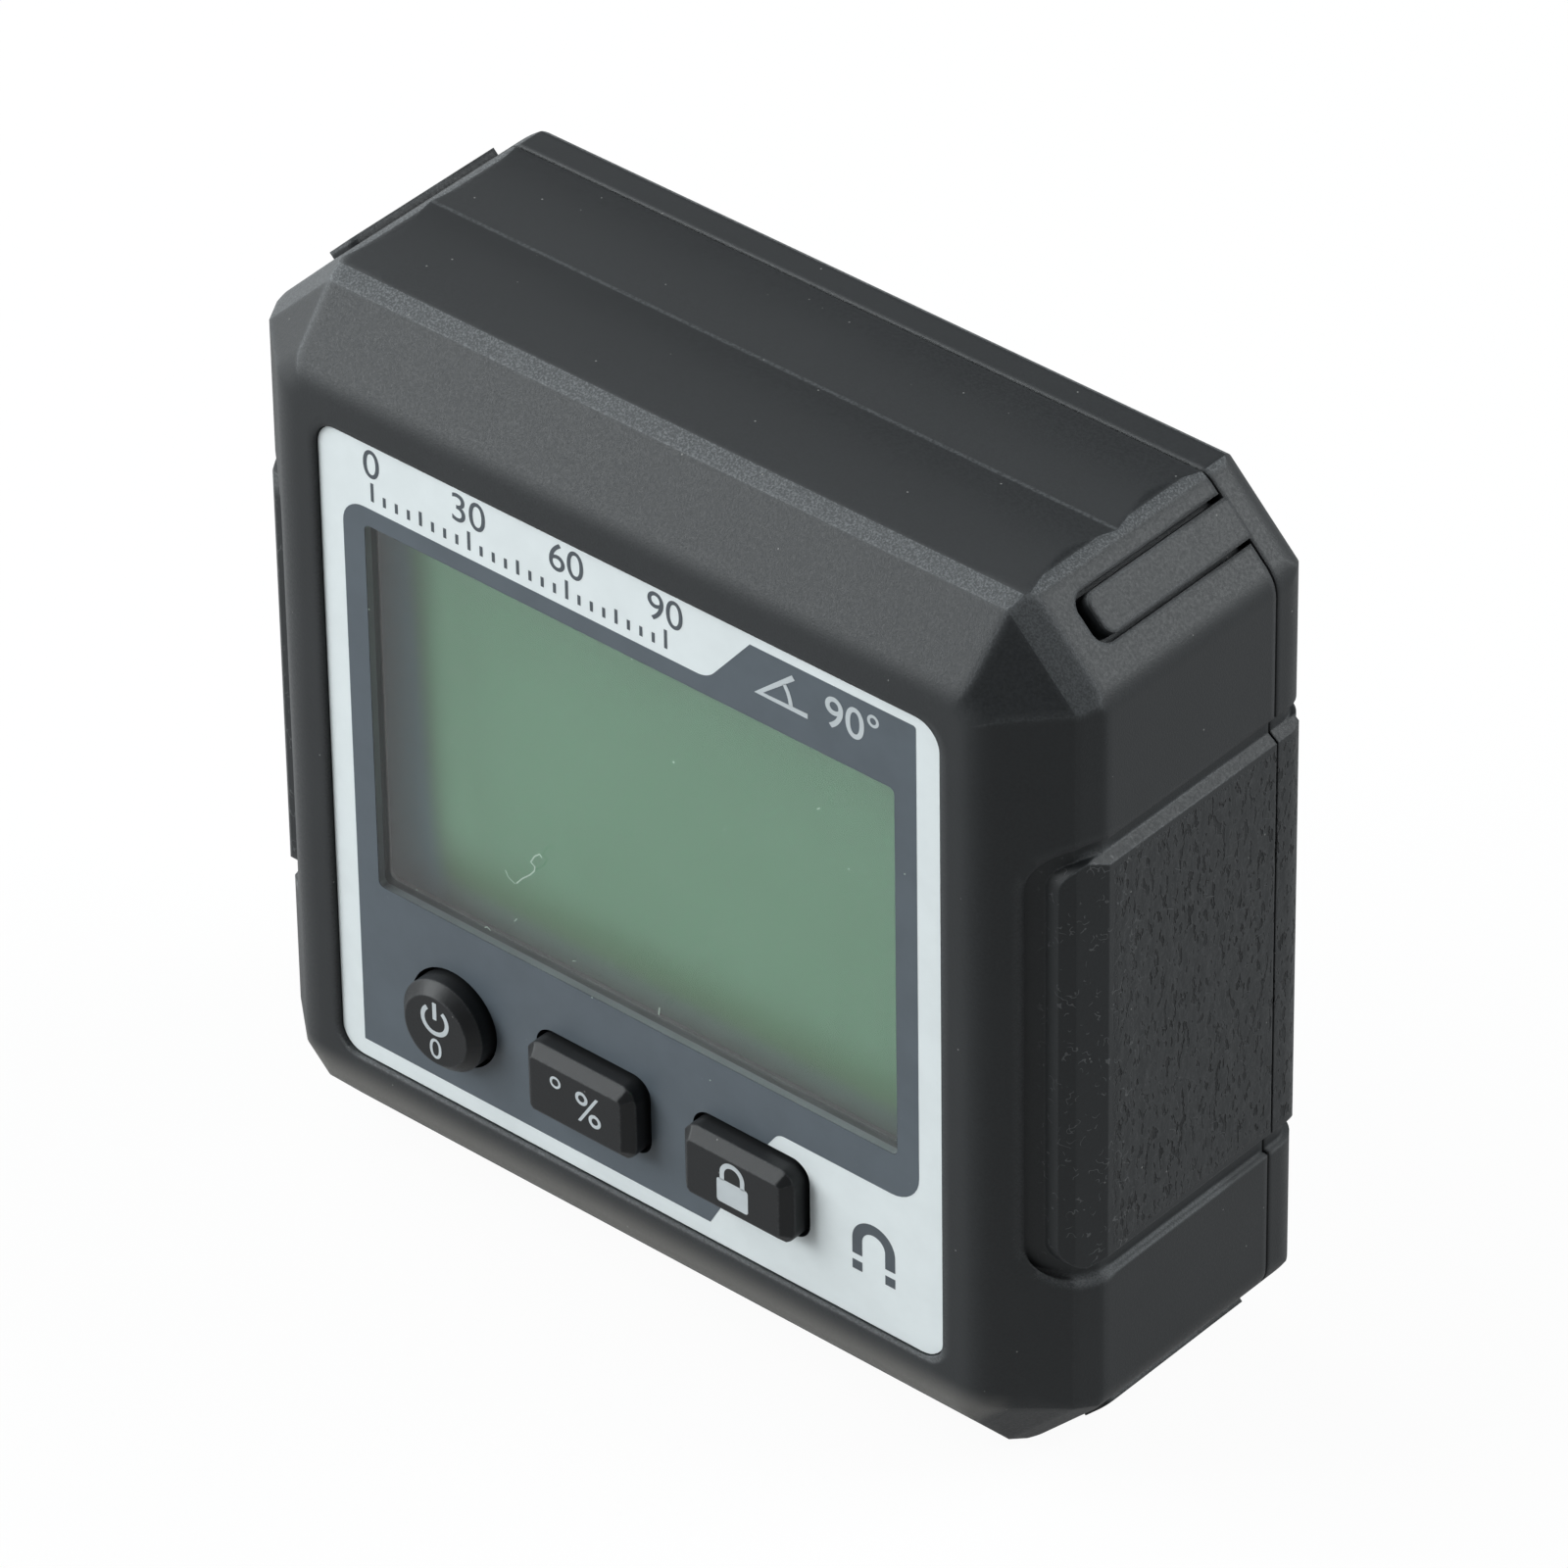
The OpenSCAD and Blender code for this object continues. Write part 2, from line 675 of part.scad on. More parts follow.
// Room for the door's hook tabs as they swing
module tab_pockets() {
    for (x = [-tab_x, tab_x])
        slab(hook_front - tab_t / 2, cavity_back)
            translate([x - tab_w / 2 - door_clear, bay_low - tab_reach - door_clear])
                square([tab_w + 2 * door_clear, tab_reach + door_clear + past]);
}

// Slots for the solder tails of the contact plates
module tail_slots() {
    for (z = [-cell_rise, cell_rise])
        slab(bay_floor - bay_wall - past, bay_floor + past)
            translate([-bay_len / 2 - cell_clear, mid_z + z - tail_w / 2 - cell_clear])
                square([contact_t + 2 * cell_clear, tail_w + 2 * cell_clear]);
}

// Thumb scoop above the door's latch
module thumb_scoop() {
    translate([-latch_w / 2, front_y + body_d + scoop_r - scoop_depth, bay_high + door_rim + door_clear])
        rotate([0, 90, 0]) cylinder(r = scoop_r, h = latch_w);
}

module back_cover() {
    color(black) difference() {
        union() {
            rear_shell();
            pads(seam_depth + seam_gap, body_d);
            locating_lip();
            battery_bay();
            corner_bar(tongue_w, tongue_front, seam_depth, tongue_corner, -slot_depth + slide_clear, tongue_proud);
            corner_bar(tongue_w - 2 * slide_clear, tongue_front + slot_depth, seam_depth + wall, tongue_corner,
                       -slot_depth + 2 * slide_clear, -slide_clear);
            for (at = case_screws_at) pin(at, case_post_d, post_end + seam_gap, cavity_back + wall / 2);
        }
        pad_grooves();
        slab(bay_floor, body_d + past) translate([0, mid_z]) square([bay_len, bay_h], center = true);
        slab(door_inner, body_d + past) door_outline(door_clear);
        tab_pockets();
        tail_slots();
        thumb_scoop();
        for (at = case_screws_at) {
            pin(at, case_screw_d + 2 * screw_clear, 0, body_d);
            pin(at, case_head_d + 2 * screw_clear, case_seat, body_d + past);
        }
    }
}

module battery_door() {
    color(black) {
        slab(door_seat, body_d) difference() {
            door_outline(0);
            for (x = [-1, 1])
                translate([x * latch_w / 2 - latch_slit / 2, bay_high + door_rim - latch_len])
                    square([latch_slit, latch_len + past]);
        }
        for (x = [-tab_x, tab_x]) {
            slab(hook_front, door_seat + door_t / 2) translate([x - tab_w / 2, bay_low + door_clear])
                square([tab_w, tab_reach]);
            slab(hook_front, hook_back) translate([x - tab_w / 2, bay_low - tab_reach])
                square([tab_w, 2 * tab_reach + door_clear]);
        }
        slab(door_seat - door_t, door_seat + door_t / 2)
            translate([-latch_w / 2 + latch_slit, bay_high - door_clear - door_t])
                square([latch_w - 2 * latch_slit, door_t]);
    }
}

module face_panel() {
    color(panel_white) slab(panel_recess, panel_back) difference() {
        translate([0, mid_z]) round_box(panel_w, panel_h, panel_corner);
        key_holes();
    }
}

module power_button() {
    len = flange_back + key_proud;
    r = round_key_d / 2;
    color(black) {
        translate([round_key_x, front_y + flange_back, key_z]) rotate([90, 0, 0]) rotate_extrude()
            polygon([[0, 0], [r, 0], [r, len - key_chamfer], [r - key_chamfer, len], [0, len]]);
        slab(flange_front, flange_back) translate([round_key_x, key_z])
            square([round_key_d + 2 * key_clear + 2 * flange_reach, round_key_d - 2 * flange_reach], center = true);
        pin([round_key_x, key_z], switch_stem_d, flange_front, pin_back);
    }
}

// Section through two opposite sides of a key: depth against half width
module key_section(half) {
    front = -key_proud;
    edge = half - key_chamfer;
    polygon([[front, edge], [front + key_chamfer, half], [flange_back, half], [flange_back, -half],
             [front + key_chamfer, -half], [front, -edge]]);
}

// A rectangular key with chamfered front edges that run on round its corners
module rect_key(x) {
    corner_reach = (key_w / 2 + key_h / 2 - 2 * key_corner) / sqrt(2) + key_corner;
    color(black) {
        intersection() {
            slab(-key_proud, flange_back) translate([x, key_z]) round_box(key_w, key_h, key_corner);
            along_x(x - key_w, x + key_w) translate([0, key_z]) key_section(key_h / 2);
            along_z(key_z - key_h, key_z + key_h) translate([x, 0]) mirror([1, -1]) key_section(key_w / 2);
            translate([x, 0, key_z - mid_z]) along_diagonal(-45) mirror([1, -1]) key_section(corner_reach);
            translate([x, 0, key_z - mid_z]) along_diagonal(45) mirror([1, -1]) key_section(corner_reach);
        }
        slab(flange_front, flange_back) translate([x, key_z])
            square([key_w + 2 * flange_reach, key_h + 2 * key_clear + flange_reach / 2], center = true);
        pin([x, key_z], switch_stem_d, flange_front, pin_back);
    }
}

module unit_button() {
    rect_key(unit_key_x);
}

module hold_button() {
    rect_key(hold_key_x);
}

// Two sheets of glass, the front one longer for the contacts
module lcd_glass() {
    color(lcd_green) {
        slab(lcd_front, lcd_step) translate([0, lcd_z]) square([lcd_w, lcd_h], center = true);
        slab(lcd_step - lcd_t / 4, lcd_back) translate([0, lcd_z])
            square([lcd_w, lcd_h - 2 * glass_ledge], center = true);
    }
}

module backlight() {
    color("#dfe8d8") slab(lcd_back, board_front) translate([0, lcd_z])
        round_box(backlight_w, min(backlight_h, lcd_h - 2 * glass_ledge), window_corner);
}

module lcd_connectors() {
    color("#c66a7c")
        for (side = [-1, 1])
            slab(lcd_step, board_front) translate([0, lcd_z + side * (lcd_h / 2 - strip_connector_h)])
                square([strip_connector_w, strip_connector_h], center = true);
}

module main_board() {
    w = board_w / 2;
    high = board_high - mid_z;
    low = mid_z - board_low;
    // Sum of width and height at which the corners are cut, clear of the case screws' posts
    cut = case_screw_x + case_screw_z - sqrt(2) * (case_post_d / 2 + board_clear);
    color(board_green) slab(board_front, board_back) difference() {
        translate([0, mid_z])
            polygon([[cut - high, high], [w, cut - w], [w, w - cut], [cut - low, -low], [low - cut, -low],
                     [-w, w - cut], [-w, cut - w], [high - cut, high]]);
        for (at = board_screws_at) translate(at) circle(d = board_screw_d + 2 * screw_clear);
    }
}

module key_switches() {
    color(metal)
        for (x = concat([round_key_x], rect_keys_x)) {
            slab(switch_front, board_front) translate([x, key_z]) square(switch_w, center = true);
            pin([x, key_z], switch_stem_d, stem_front, switch_front + switch_stem_len);
        }
}

// A chip on the front of the board
module chip(x, w, t) {
    slab(board_front - t, board_front) translate([x, chip_z]) square(w, center = true);
}

module controller_chip() {
    color(black) chip(controller_x, controller_w, controller_t);
}

module tilt_sensor() {
    color(metal) chip(sensor_x, sensor_w, sensor_t);
}

module board_screws() {
    color(metal)
        for (at = board_screws_at) {
            pin(at, board_head_d, board_back, board_back + board_head_h);
            pin(at, board_screw_d, board_back - board_screw_len, board_back + board_head_h / 2);
        }
}

// One cell along X, with its terminal towards -X
module cell() {
    end_r = terminal_len / 2;
    r = cell_d / 2;
    body = cell_len - terminal_len;
    rotate([0, 90, 0]) {
        translate([0, 0, -body / 2 + terminal_len / 2]) rotate_extrude()
            round_outline([[0, 0], [r, 0], [r, body], [0, body]], [0, end_r, end_r, 0]);
        translate([0, 0, -cell_len / 2]) cylinder(d = terminal_d, h = 2 * terminal_len);
    }
}

// Places its children at each cell, turned so that the terminal meets its plate
module at_cells() {
    for (side = [0, 1])
        translate([0, front_y + cell_axis, mid_z + (1 - 2 * side) * cell_rise]) mirror([side, 0, 0]) children();
}

module battery_cells() {
    color("#c9a14a") at_cells() translate([-spring_len / 2, 0, 0]) cell();
}

// A conical coil of round wire along X
function coil_point(k, turn) =
    let (r = spring_r_plate + (spring_r_cell - spring_r_plate) * k)
    [spring_wire / 2 + (spring_len - spring_wire) * (1 - k), r * cos(turn), r * sin(turn)];

module coil() {
    steps = spring_turns * spring_steps;
    rings = [for (i = [0:steps])
        let (turn = 360 * i / spring_steps, centre = coil_point(i / steps, turn))
        [for (j = [0:spring_sides - 1])
            let (a = 360 * j / spring_sides)
            centre + spring_wire / 2 * [cos(a), sin(a) * cos(turn), sin(a) * sin(turn)]]];
    points = [for (ring = rings) each ring];
    n = spring_sides;
    sides = [for (i = [0:steps - 1], j = [0:n - 1])
        let (a = i * n + j, b = i * n + (j + 1) % n)
        each [[a, b, b + n], [a, b + n, a + n]]];
    start_cap = [for (j = [n - 1:-1:0]) j];
    end_cap = [for (j = [0:n - 1]) steps * n + j];
    polyhedron(points, concat(sides, [start_cap, end_cap]));
}

module contact_springs() {
    color(metal) at_cells() translate([cell_len / 2 - spring_len / 2, 0, 0]) coil();
}

// Sheet contacts: one to each cell on the left with a tail to the board, and one across both on the right
module contact_plates() {
    low = cell_axis - contact_w / 2;
    color(metal) {
        for (z = [-cell_rise, cell_rise]) {
            slab(low, low + contact_w) translate([-bay_len / 2, mid_z + z - contact_w / 2])
                square([contact_t, contact_w]);
            slab(board_back, low + contact_t) translate([-bay_len / 2, mid_z + z - tail_w / 2])
                square([contact_t, tail_w]);
        }
        slab(low, low + contact_w)
            translate([bay_len / 2 - contact_t, mid_z - cell_rise - contact_w / 2])
                square([contact_t, contact_w + 2 * cell_rise]);
    }
}

module base_magnets() {
    color(metal)
        for (x = [-magnet_x, magnet_x])
            translate([x, front_y + magnet_depth, magnet_lip_t]) cylinder(d = magnet_d, h = magnet_t);
}

module case_screws() {
    head_back = case_seat + case_head_h;
    color(metal) difference() {
        for (at = case_screws_at) {
            pin(at, case_head_d, case_seat, head_back);
            pin(at, case_screw_d, case_seat - case_screw_len, head_back - case_head_h / 2);
        }
        for (at = case_screws_at, size = [[cross_w, cross_len], [cross_len, cross_w]])
            slab(head_back - case_head_h / 2, head_back + past) translate(at) square(size, center = true);
    }
}

front_housing();
back_cover();
battery_door();
face_panel();
power_button();
unit_button();
hold_button();
lcd_glass();
backlight();
lcd_connectors();
main_board();
key_switches();
controller_chip();
tilt_sensor();
board_screws();
battery_cells();
contact_springs();
contact_plates();
base_magnets();
case_screws();
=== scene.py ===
"""Looks of the angle gauge: its plastics, printed face, display, key legends and grip grain, in a plain studio."""
import math
import random

import bpy
from mathutils import Matrix, Vector


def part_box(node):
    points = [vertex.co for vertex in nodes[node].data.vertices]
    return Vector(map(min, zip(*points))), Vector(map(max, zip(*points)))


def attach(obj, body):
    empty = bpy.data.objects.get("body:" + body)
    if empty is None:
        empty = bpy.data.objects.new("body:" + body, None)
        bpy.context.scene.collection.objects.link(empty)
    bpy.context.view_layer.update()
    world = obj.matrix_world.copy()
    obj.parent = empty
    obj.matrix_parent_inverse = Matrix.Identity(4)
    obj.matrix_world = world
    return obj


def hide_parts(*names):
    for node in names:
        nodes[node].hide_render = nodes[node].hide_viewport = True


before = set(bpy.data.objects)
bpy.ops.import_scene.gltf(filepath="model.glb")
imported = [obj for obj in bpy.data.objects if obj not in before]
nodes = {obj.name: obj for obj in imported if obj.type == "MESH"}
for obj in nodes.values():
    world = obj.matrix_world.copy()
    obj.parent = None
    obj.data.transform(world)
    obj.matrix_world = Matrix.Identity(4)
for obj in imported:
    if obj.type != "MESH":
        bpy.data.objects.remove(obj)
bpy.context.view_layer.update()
scene = bpy.context.scene
MM = 0.001

# Places that the looks share with the CAD, in millimetres: X runs to the right, Y to the back and Z up
PANEL_RECESS = 0.25
PANEL_T = 1
PANEL_CORNER = 1.6
CREASE_DEPTH = 12.4
panel_low, panel_high = (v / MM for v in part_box("face_panel"))
PANEL_W, PANEL_H = panel_high.x - panel_low.x, panel_high.z - panel_low.z
FACE = panel_low.y
MID = (panel_low.z + panel_high.z) / 2
FRONT = FACE - PANEL_RECESS
KEY_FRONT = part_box("power_button")[0].y / MM
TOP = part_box("front_housing")[1].z / MM
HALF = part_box("front_housing")[1].x / MM
CREASE = FRONT + CREASE_DEPTH

# Where the housing's looks change: depths from the front, reaches from the sides, rises from the middle
CORNER_DEPTH, CORNER_REACH = 6.0, 8.5
RIM_HEIGHT, RIM_DEPTH = 6.8, 2.5
GRIP_RISE, GRIP_REACH = 14.1, 3.2
PAD_RISE, PAD_DEPTH, PAD_REACH = 13.25, 6.15, 1.35

# How far the housing's edges are softened, in millimetres; the rim's and the corners' come on top
EDGE_SOFT, RIM_SOFT, CORNER_SOFT, GRIP_SOFT = 0.5, 0.9, 0.4, 0.17

# Colours of the housing and the keys
PLASTIC_DARK, PLASTIC_LIGHT = (0.0150, 0.0168, 0.0186), (0.0250, 0.0278, 0.0300)
# Paler edges: wear, and a painted highlight where the edges face up
EDGE_WEAR_AND_HIGHLIGHT = (0.15, 0.158, 0.165)
# Painted highlights on the slanting corner facets, on the strip in front of the lands and along the crease
SLANT_HIGHLIGHT = (0.115, 0.122, 0.128)
STRIP_HIGHLIGHT = (0.17, 0.18, 0.188)
CREASE_HIGHLIGHT = (0.1, 0.107, 0.112)
# Painted reflection of the floor on the lower front rim
RIM_FLOOR_REFLECTION = (0.18, 0.173, 0.162)
# Painted shade in the grips' pits, and painted highlights on their rims
PIT_SHADE, PIT_RIM_HIGHLIGHT = (0.005, 0.0054, 0.006), (0.06, 0.063, 0.066)
PALE_FIBRE = (0.13, 0.134, 0.137)
DUST = (0.3, 0.3, 0.29)
KEY_DARK, KEY_LIGHT = (0.0125, 0.0131, 0.0142), (0.0188, 0.0196, 0.0210)
# Painted highlight along the keys' edges
KEY_EDGE_HIGHLIGHT = (0.11, 0.113, 0.117)

# Colours of the display: its field, the field's left end lightened as painted light, the painted shade below it
# with its lowest edge lightened, and the left border, partly the display's own dark border and partly painted
# shade
GREEN_DEEP, GREEN_PALE = (0.043, 0.128, 0.067), (0.053, 0.142, 0.079)
LIT_GREEN_LEFT = (0.09, 0.215, 0.125)
LIFTED_SHADE_LOWEST, LOW_SHADE = (0.054, 0.092, 0.078), (0.040, 0.092, 0.043)
LEFT_BORDER_AND_SHADE = (0.057, 0.122, 0.142)


def middle(node):
    """A node's middle, seen from the front, in millimetres from the panel's middle."""
    low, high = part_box(node)
    return (low.x + high.x) / 2 / MM, (low.z + high.z) / 2 / MM - MID


# Helpers for shader nodes

def put(tree, kind, values=None, **props):
    """A new shader node. A value that is another node's output is linked, and any other is set."""
    node = tree.nodes.new("ShaderNode" + kind)
    for key, value in props.items():
        setattr(node, key, value)
    for key, value in (values or {}).items():
        if isinstance(value, bpy.types.NodeSocket):
            tree.links.new(value, node.inputs[key])
        else:
            node.inputs[key].default_value = value
    return node


def maths(tree, operation, a, b=0.0, clamp=False):
    return put(tree, "Math", {0: a, 1: b}, operation=operation, use_clamp=clamp).outputs[0]


def times(tree, *values):
    out = values[0]
    for value in values[1:]:
        out = maths(tree, "MULTIPLY", out, value)
    return out


def ramp(tree, value, low, high, out_low=0.0, out_high=1.0):
    """A smooth step from one output to another, between two values."""
    values = {"Value": value, "From Min": low, "From Max": high, "To Min": out_low, "To Max": out_high}
    return put(tree, "MapRange", values, interpolation_type="SMOOTHSTEP").outputs[0]


def above(tree, value, place, spread):
    """Rises from 0 to 1 round a place."""
    return ramp(tree, value, place - spread, place + spread)


def below(tree, value, place, spread, start=1.0, end=0.0):
    """Falls from start to end round a place."""
    return ramp(tree, value, place - spread, place + spread, start, end)


def shade(colour, factor=1.0):
    return tuple(min(1, c * factor) for c in colour) + (1,)


def blend(tree, factor, a, b):
    return put(tree, "Mix", {0: factor, 6: a, 7: b}, data_type="RGBA").outputs[2]


def grain(tree, vector, scale, detail=3.0, rough=0.6, stretch=(1, 1, 1)):
    if stretch != (1, 1, 1):
        vector = put(tree, "Mapping", {"Vector": vector, "Scale": stretch}).outputs[0]
    values = {"Vector": vector, "Scale": scale, "Detail": detail, "Roughness": rough}
    return put(tree, "TexNoise", values).outputs[0]


def bump(tree, height, depth_mm, normal=None):
    values = {"Height": height, "Distance": depth_mm * MM, "Strength": 1.0}
    if normal is not None:
        values["Normal"] = normal
    return put(tree, "Bump", values).outputs[0]


def material(name, **sockets):
    """A new material with its tree, its shader and the place on the surface in millimetres."""
    made = bpy.data.materials.new(name)
    made.use_nodes = True
    tree = made.node_tree
    shader = tree.nodes["Principled BSDF"]
    for key, value in sockets.items():
        shader.inputs[key.replace("_", " ")].default_value = value
    place = put(tree, "TexCoord").outputs["Object"]
    place = put(tree, "Mapping", {"Vector": place, "Scale": (1 / MM, 1 / MM, 1 / MM)}).outputs[0]
    return made, tree, shader, place


def feed(tree, shader, **sockets):
    for key, value in sockets.items():
        tree.links.new(value, shader.inputs[key.replace("_", " ")])


def end_in(tree, shown, output="Material Output"):
    tree.links.new(shown, tree.nodes[output].inputs["Surface"])


# Materials

def soft_edges(tree, radius):
    """The surface's normal with softened edges, and how near an edge a place is."""
    normal = put(tree, "NewGeometry").outputs["Normal"]
    soft = put(tree, "Bevel", {"Radius": radius}, samples=6).outputs[0]
    turn = put(tree, "VectorMath", {0: normal, 1: soft}, operation="DOT_PRODUCT").outputs["Value"]
    return soft, ramp(tree, turn, 0.955, 0.998, 1.0, 0.0)


def dust(tree, place, amount):
    """Sparse pale dots of dust."""
    dots = put(tree, "TexVoronoi", {"Vector": place, "Scale": 0.62}).outputs["Distance"]
    return ramp(tree, dots, 0.026, 0.042, amount, 0.0)


def housing_plastic(name, tone=1.0):
    """Black plastic: spark-eroded grain, smooth lands on top, edges painted paler as wear and painted highlight,
    more painted highlights and a painted floor reflection, and leather-like pits on the grips holding painted
    shade.
    """
    made, tree, shader, place = material(name, IOR=1.5, Specular_IOR_Level=0.45)
    x, y, z = put(tree, "SeparateXYZ", {0: place}).outputs
    rise = maths(tree, "ABSOLUTE", maths(tree, "SUBTRACT", z, MID))
    across = maths(tree, "ABSOLUTE", x)

    # Edges are rounder at the front corners and along the lower rim, and crisper on the grips
    corner = times(tree, below(tree, y, FRONT + CORNER_DEPTH, 0.5), above(tree, across, HALF - CORNER_REACH, 0.5))
    lower = times(tree, below(tree, z, RIM_HEIGHT, 0.4), below(tree, y, FRONT + RIM_DEPTH, 0.5))
    grip = times(tree, below(tree, rise, GRIP_RISE, 0.3), above(tree, across, HALF - GRIP_REACH, 0.2))
    radius = maths(tree, "ADD", times(tree, lower, RIM_SOFT * MM), times(tree, corner, CORNER_SOFT * MM))
    radius = maths(tree, "ADD", radius, EDGE_SOFT * MM)
    radius = put(tree, "Mix", {0: grip, 2: radius, 3: GRIP_SOFT * MM}).outputs[0]
    soft, edge = soft_edges(tree, radius)
    soft_up = put(tree, "SeparateXYZ", {0: soft}).outputs[2]
    aside, ahead, up = put(tree, "SeparateXYZ", {0: put(tree, "NewGeometry").outputs["Normal"]}).outputs
    fine = grain(tree, place, 5.5, 3)
    sand = grain(tree, place, 8.0, 2)
    cloud = grain(tree, place, 0.16, 3)

    # The lands of the top, the crease between them and the strip in front of them; the crease and the strip get
    # painted highlights
    land = times(tree, ramp(tree, up, 0.955, 0.972), above(tree, z, TOP - 0.75, 0.15))
    crease = maths(tree, "ABSOLUTE", maths(tree, "SUBTRACT", y, CREASE))
    crease = times(tree, ramp(tree, crease, 0.05, 0.2, 1.0, 0.0), land)
    strip = times(tree, ramp(tree, up, 0.80, 0.86), ramp(tree, up, 0.94, 0.955, 1.0, 0.0),
                  above(tree, z, TOP - 1.2, 0.2))

    # The strip's slanting part at the upper corners, which faces sideways, forward and up, and gets a painted
    # highlight
    slant = maths(tree, "ADD", maths(tree, "ABSOLUTE", aside), up)
    slant = maths(tree, "SUBTRACT", times(tree, slant, 0.64), times(tree, ahead, 0.43))
    slant = times(tree, ramp(tree, slant, 0.988, 0.996), above(tree, z, TOP - 8.5, 0.5), corner)

    # The grips' grained field, its pits painted dark as painted shade with rims painted paler as painted
    # highlights, and the folds and fibres between them
    rough_rise = maths(tree, "ADD", rise, times(tree, fine, 0.5))
    rough_depth = maths(tree, "ADD", y, times(tree, fine, 0.6))
    pad = times(tree, below(tree, rough_rise, PAD_RISE, 0.15), above(tree, rough_depth, FRONT + PAD_DEPTH, 0.35),
                above(tree, across, HALF - PAD_REACH, 0.15))
    hide = grain(tree, place, 1.0, 3, 0.55, (1.0, 2.5, 1.05))
    patches = ramp(tree, grain(tree, place, 0.35, 2), 0.35, 0.6, 0.45, 1.0)
    pits = times(tree, ramp(tree, hide, 0.55, 0.625), pad, patches)
    pit_rim_highlights = times(tree, ramp(tree, hide, 0.47, 0.53), ramp(tree, hide, 0.535, 0.55, 1.0, 0.0), pad)
    folds = times(tree, grain(tree, place, 0.9, 2, 0.5, (1.0, 1.3, 0.8)), pad)
    curls = maths(tree, "ABSOLUTE", maths(tree, "SUBTRACT", grain(tree, place, 1.5, 1), 0.5))
    fibres = times(tree, ramp(tree, curls, 0.008, 0.024, 1.0, 0.0),
                   ramp(tree, grain(tree, place, 1.25, 1), 0.55, 0.6), grip,
                   above(tree, y, FRONT + 2.7, 0.3), below(tree, y, FRONT + 7.5, 1.5, 1.0, 0.15))

    # Edges are painted paler, partly as wear and partly as a painted highlight where they face up; less towards
    # the back
    worn_and_highlit = times(tree, edge, ramp(tree, sand, 0.3, 0.7, 0.35, 0.9), ramp(tree, soft_up, 0.05, 0.35, 0.25, 1.0),
                 below(tree, y, FRONT + 16.0, 1.0, 1.0, 0.3))
    # Painted reflection of the floor: the lower front rim is painted paler
    painted_rim_reflection = times(tree, below(tree, z, 6.0, 1.0, 0.9, 0.0), below(tree, y, FRONT + 1.0, 0.5))

    dark, light = shade(PLASTIC_DARK, tone), shade(PLASTIC_LIGHT, tone)
    colour = blend(tree, ramp(tree, fine, 0.3, 0.75), dark, light)
    for share, over in (
            (ramp(tree, cloud, 0.35, 0.75, 0.0, 0.4), light),
            # Wear and painted highlight on the edges
            (worn_and_highlit, shade(EDGE_WEAR_AND_HIGHLIGHT)),
            # Painted highlight on the slanting corner facets
            (times(tree, slant, ramp(tree, sand, 0.35, 0.68, 0.25, 0.65)), shade(SLANT_HIGHLIGHT)),
            # Painted floor reflection on the lower rim
            (painted_rim_reflection, shade(RIM_FLOOR_REFLECTION)),
            # Painted highlight on the strip, with a grainy pattern
            (times(tree, strip, ramp(tree, sand, 0.42, 0.68, 0.25, 0.85)), shade(STRIP_HIGHLIGHT)),
            (times(tree, land, 0.35), dark),
            # Painted highlight along the crease
            (times(tree, crease, ramp(tree, fine, 0.35, 0.6, 0.1, 0.55)), shade(CREASE_HIGHLIGHT)),
            # Painted shade in the pits, and painted highlights on their rims
            (times(tree, pits, 0.65), shade(PIT_SHADE)),
            (times(tree, pit_rim_highlights, 0.35), shade(PIT_RIM_HIGHLIGHT)),
            (times(tree, fibres, 0.8), shade(PALE_FIBRE)),
            (dust(tree, place, 0.7), shade(DUST))):
        colour = blend(tree, share, colour, over)

    # The lands are smoother, and the pits duller
    rough = ramp(tree, fine, 0.3, 0.7, 0.46, 0.58)
    rough = maths(tree, "SUBTRACT", rough, times(tree, land, 0.17))
    rough = maths(tree, "ADD", rough, times(tree, pits, 0.2), clamp=True)
    relief = maths(tree, "SUBTRACT", times(tree, folds, 0.7), pits)
    relief = bump(tree, relief, 0.13, soft)
    depth = maths(tree, "ADD", maths(tree, "SUBTRACT", 1.0, times(tree, land, 0.9)), times(tree, strip, 2.0))
    normal = bump(tree, times(tree, sand, depth), 0.012, relief)
    feed(tree, shader, Base_Color=colour, Roughness=rough, Normal=normal)
    return made


def key_plastic():
    """Black plastic of the keys: finer grain, a soft shine and a painted highlight along the edges."""
    made, tree, shader, place = material("key_plastic", IOR=1.5, Specular_IOR_Level=0.32)
    soft, edge = soft_edges(tree, 0.2 * MM)
    fine = grain(tree, place, 7.0, 3)
    colour = blend(tree, fine, shade(KEY_DARK), shade(KEY_LIGHT))
    # Painted highlight along the edges
    colour = blend(tree, times(tree, edge, ramp(tree, fine, 0.3, 0.7, 0.2, 0.6)), colour, shade(KEY_EDGE_HIGHLIGHT))
    colour = blend(tree, dust(tree, place, 0.5), colour, shade(DUST))
    rough = ramp(tree, fine, 0.3, 0.7, 0.36, 0.46)
    feed(tree, shader, Base_Color=colour, Roughness=rough, Normal=bump(tree, fine, 0.008, soft))
    return made


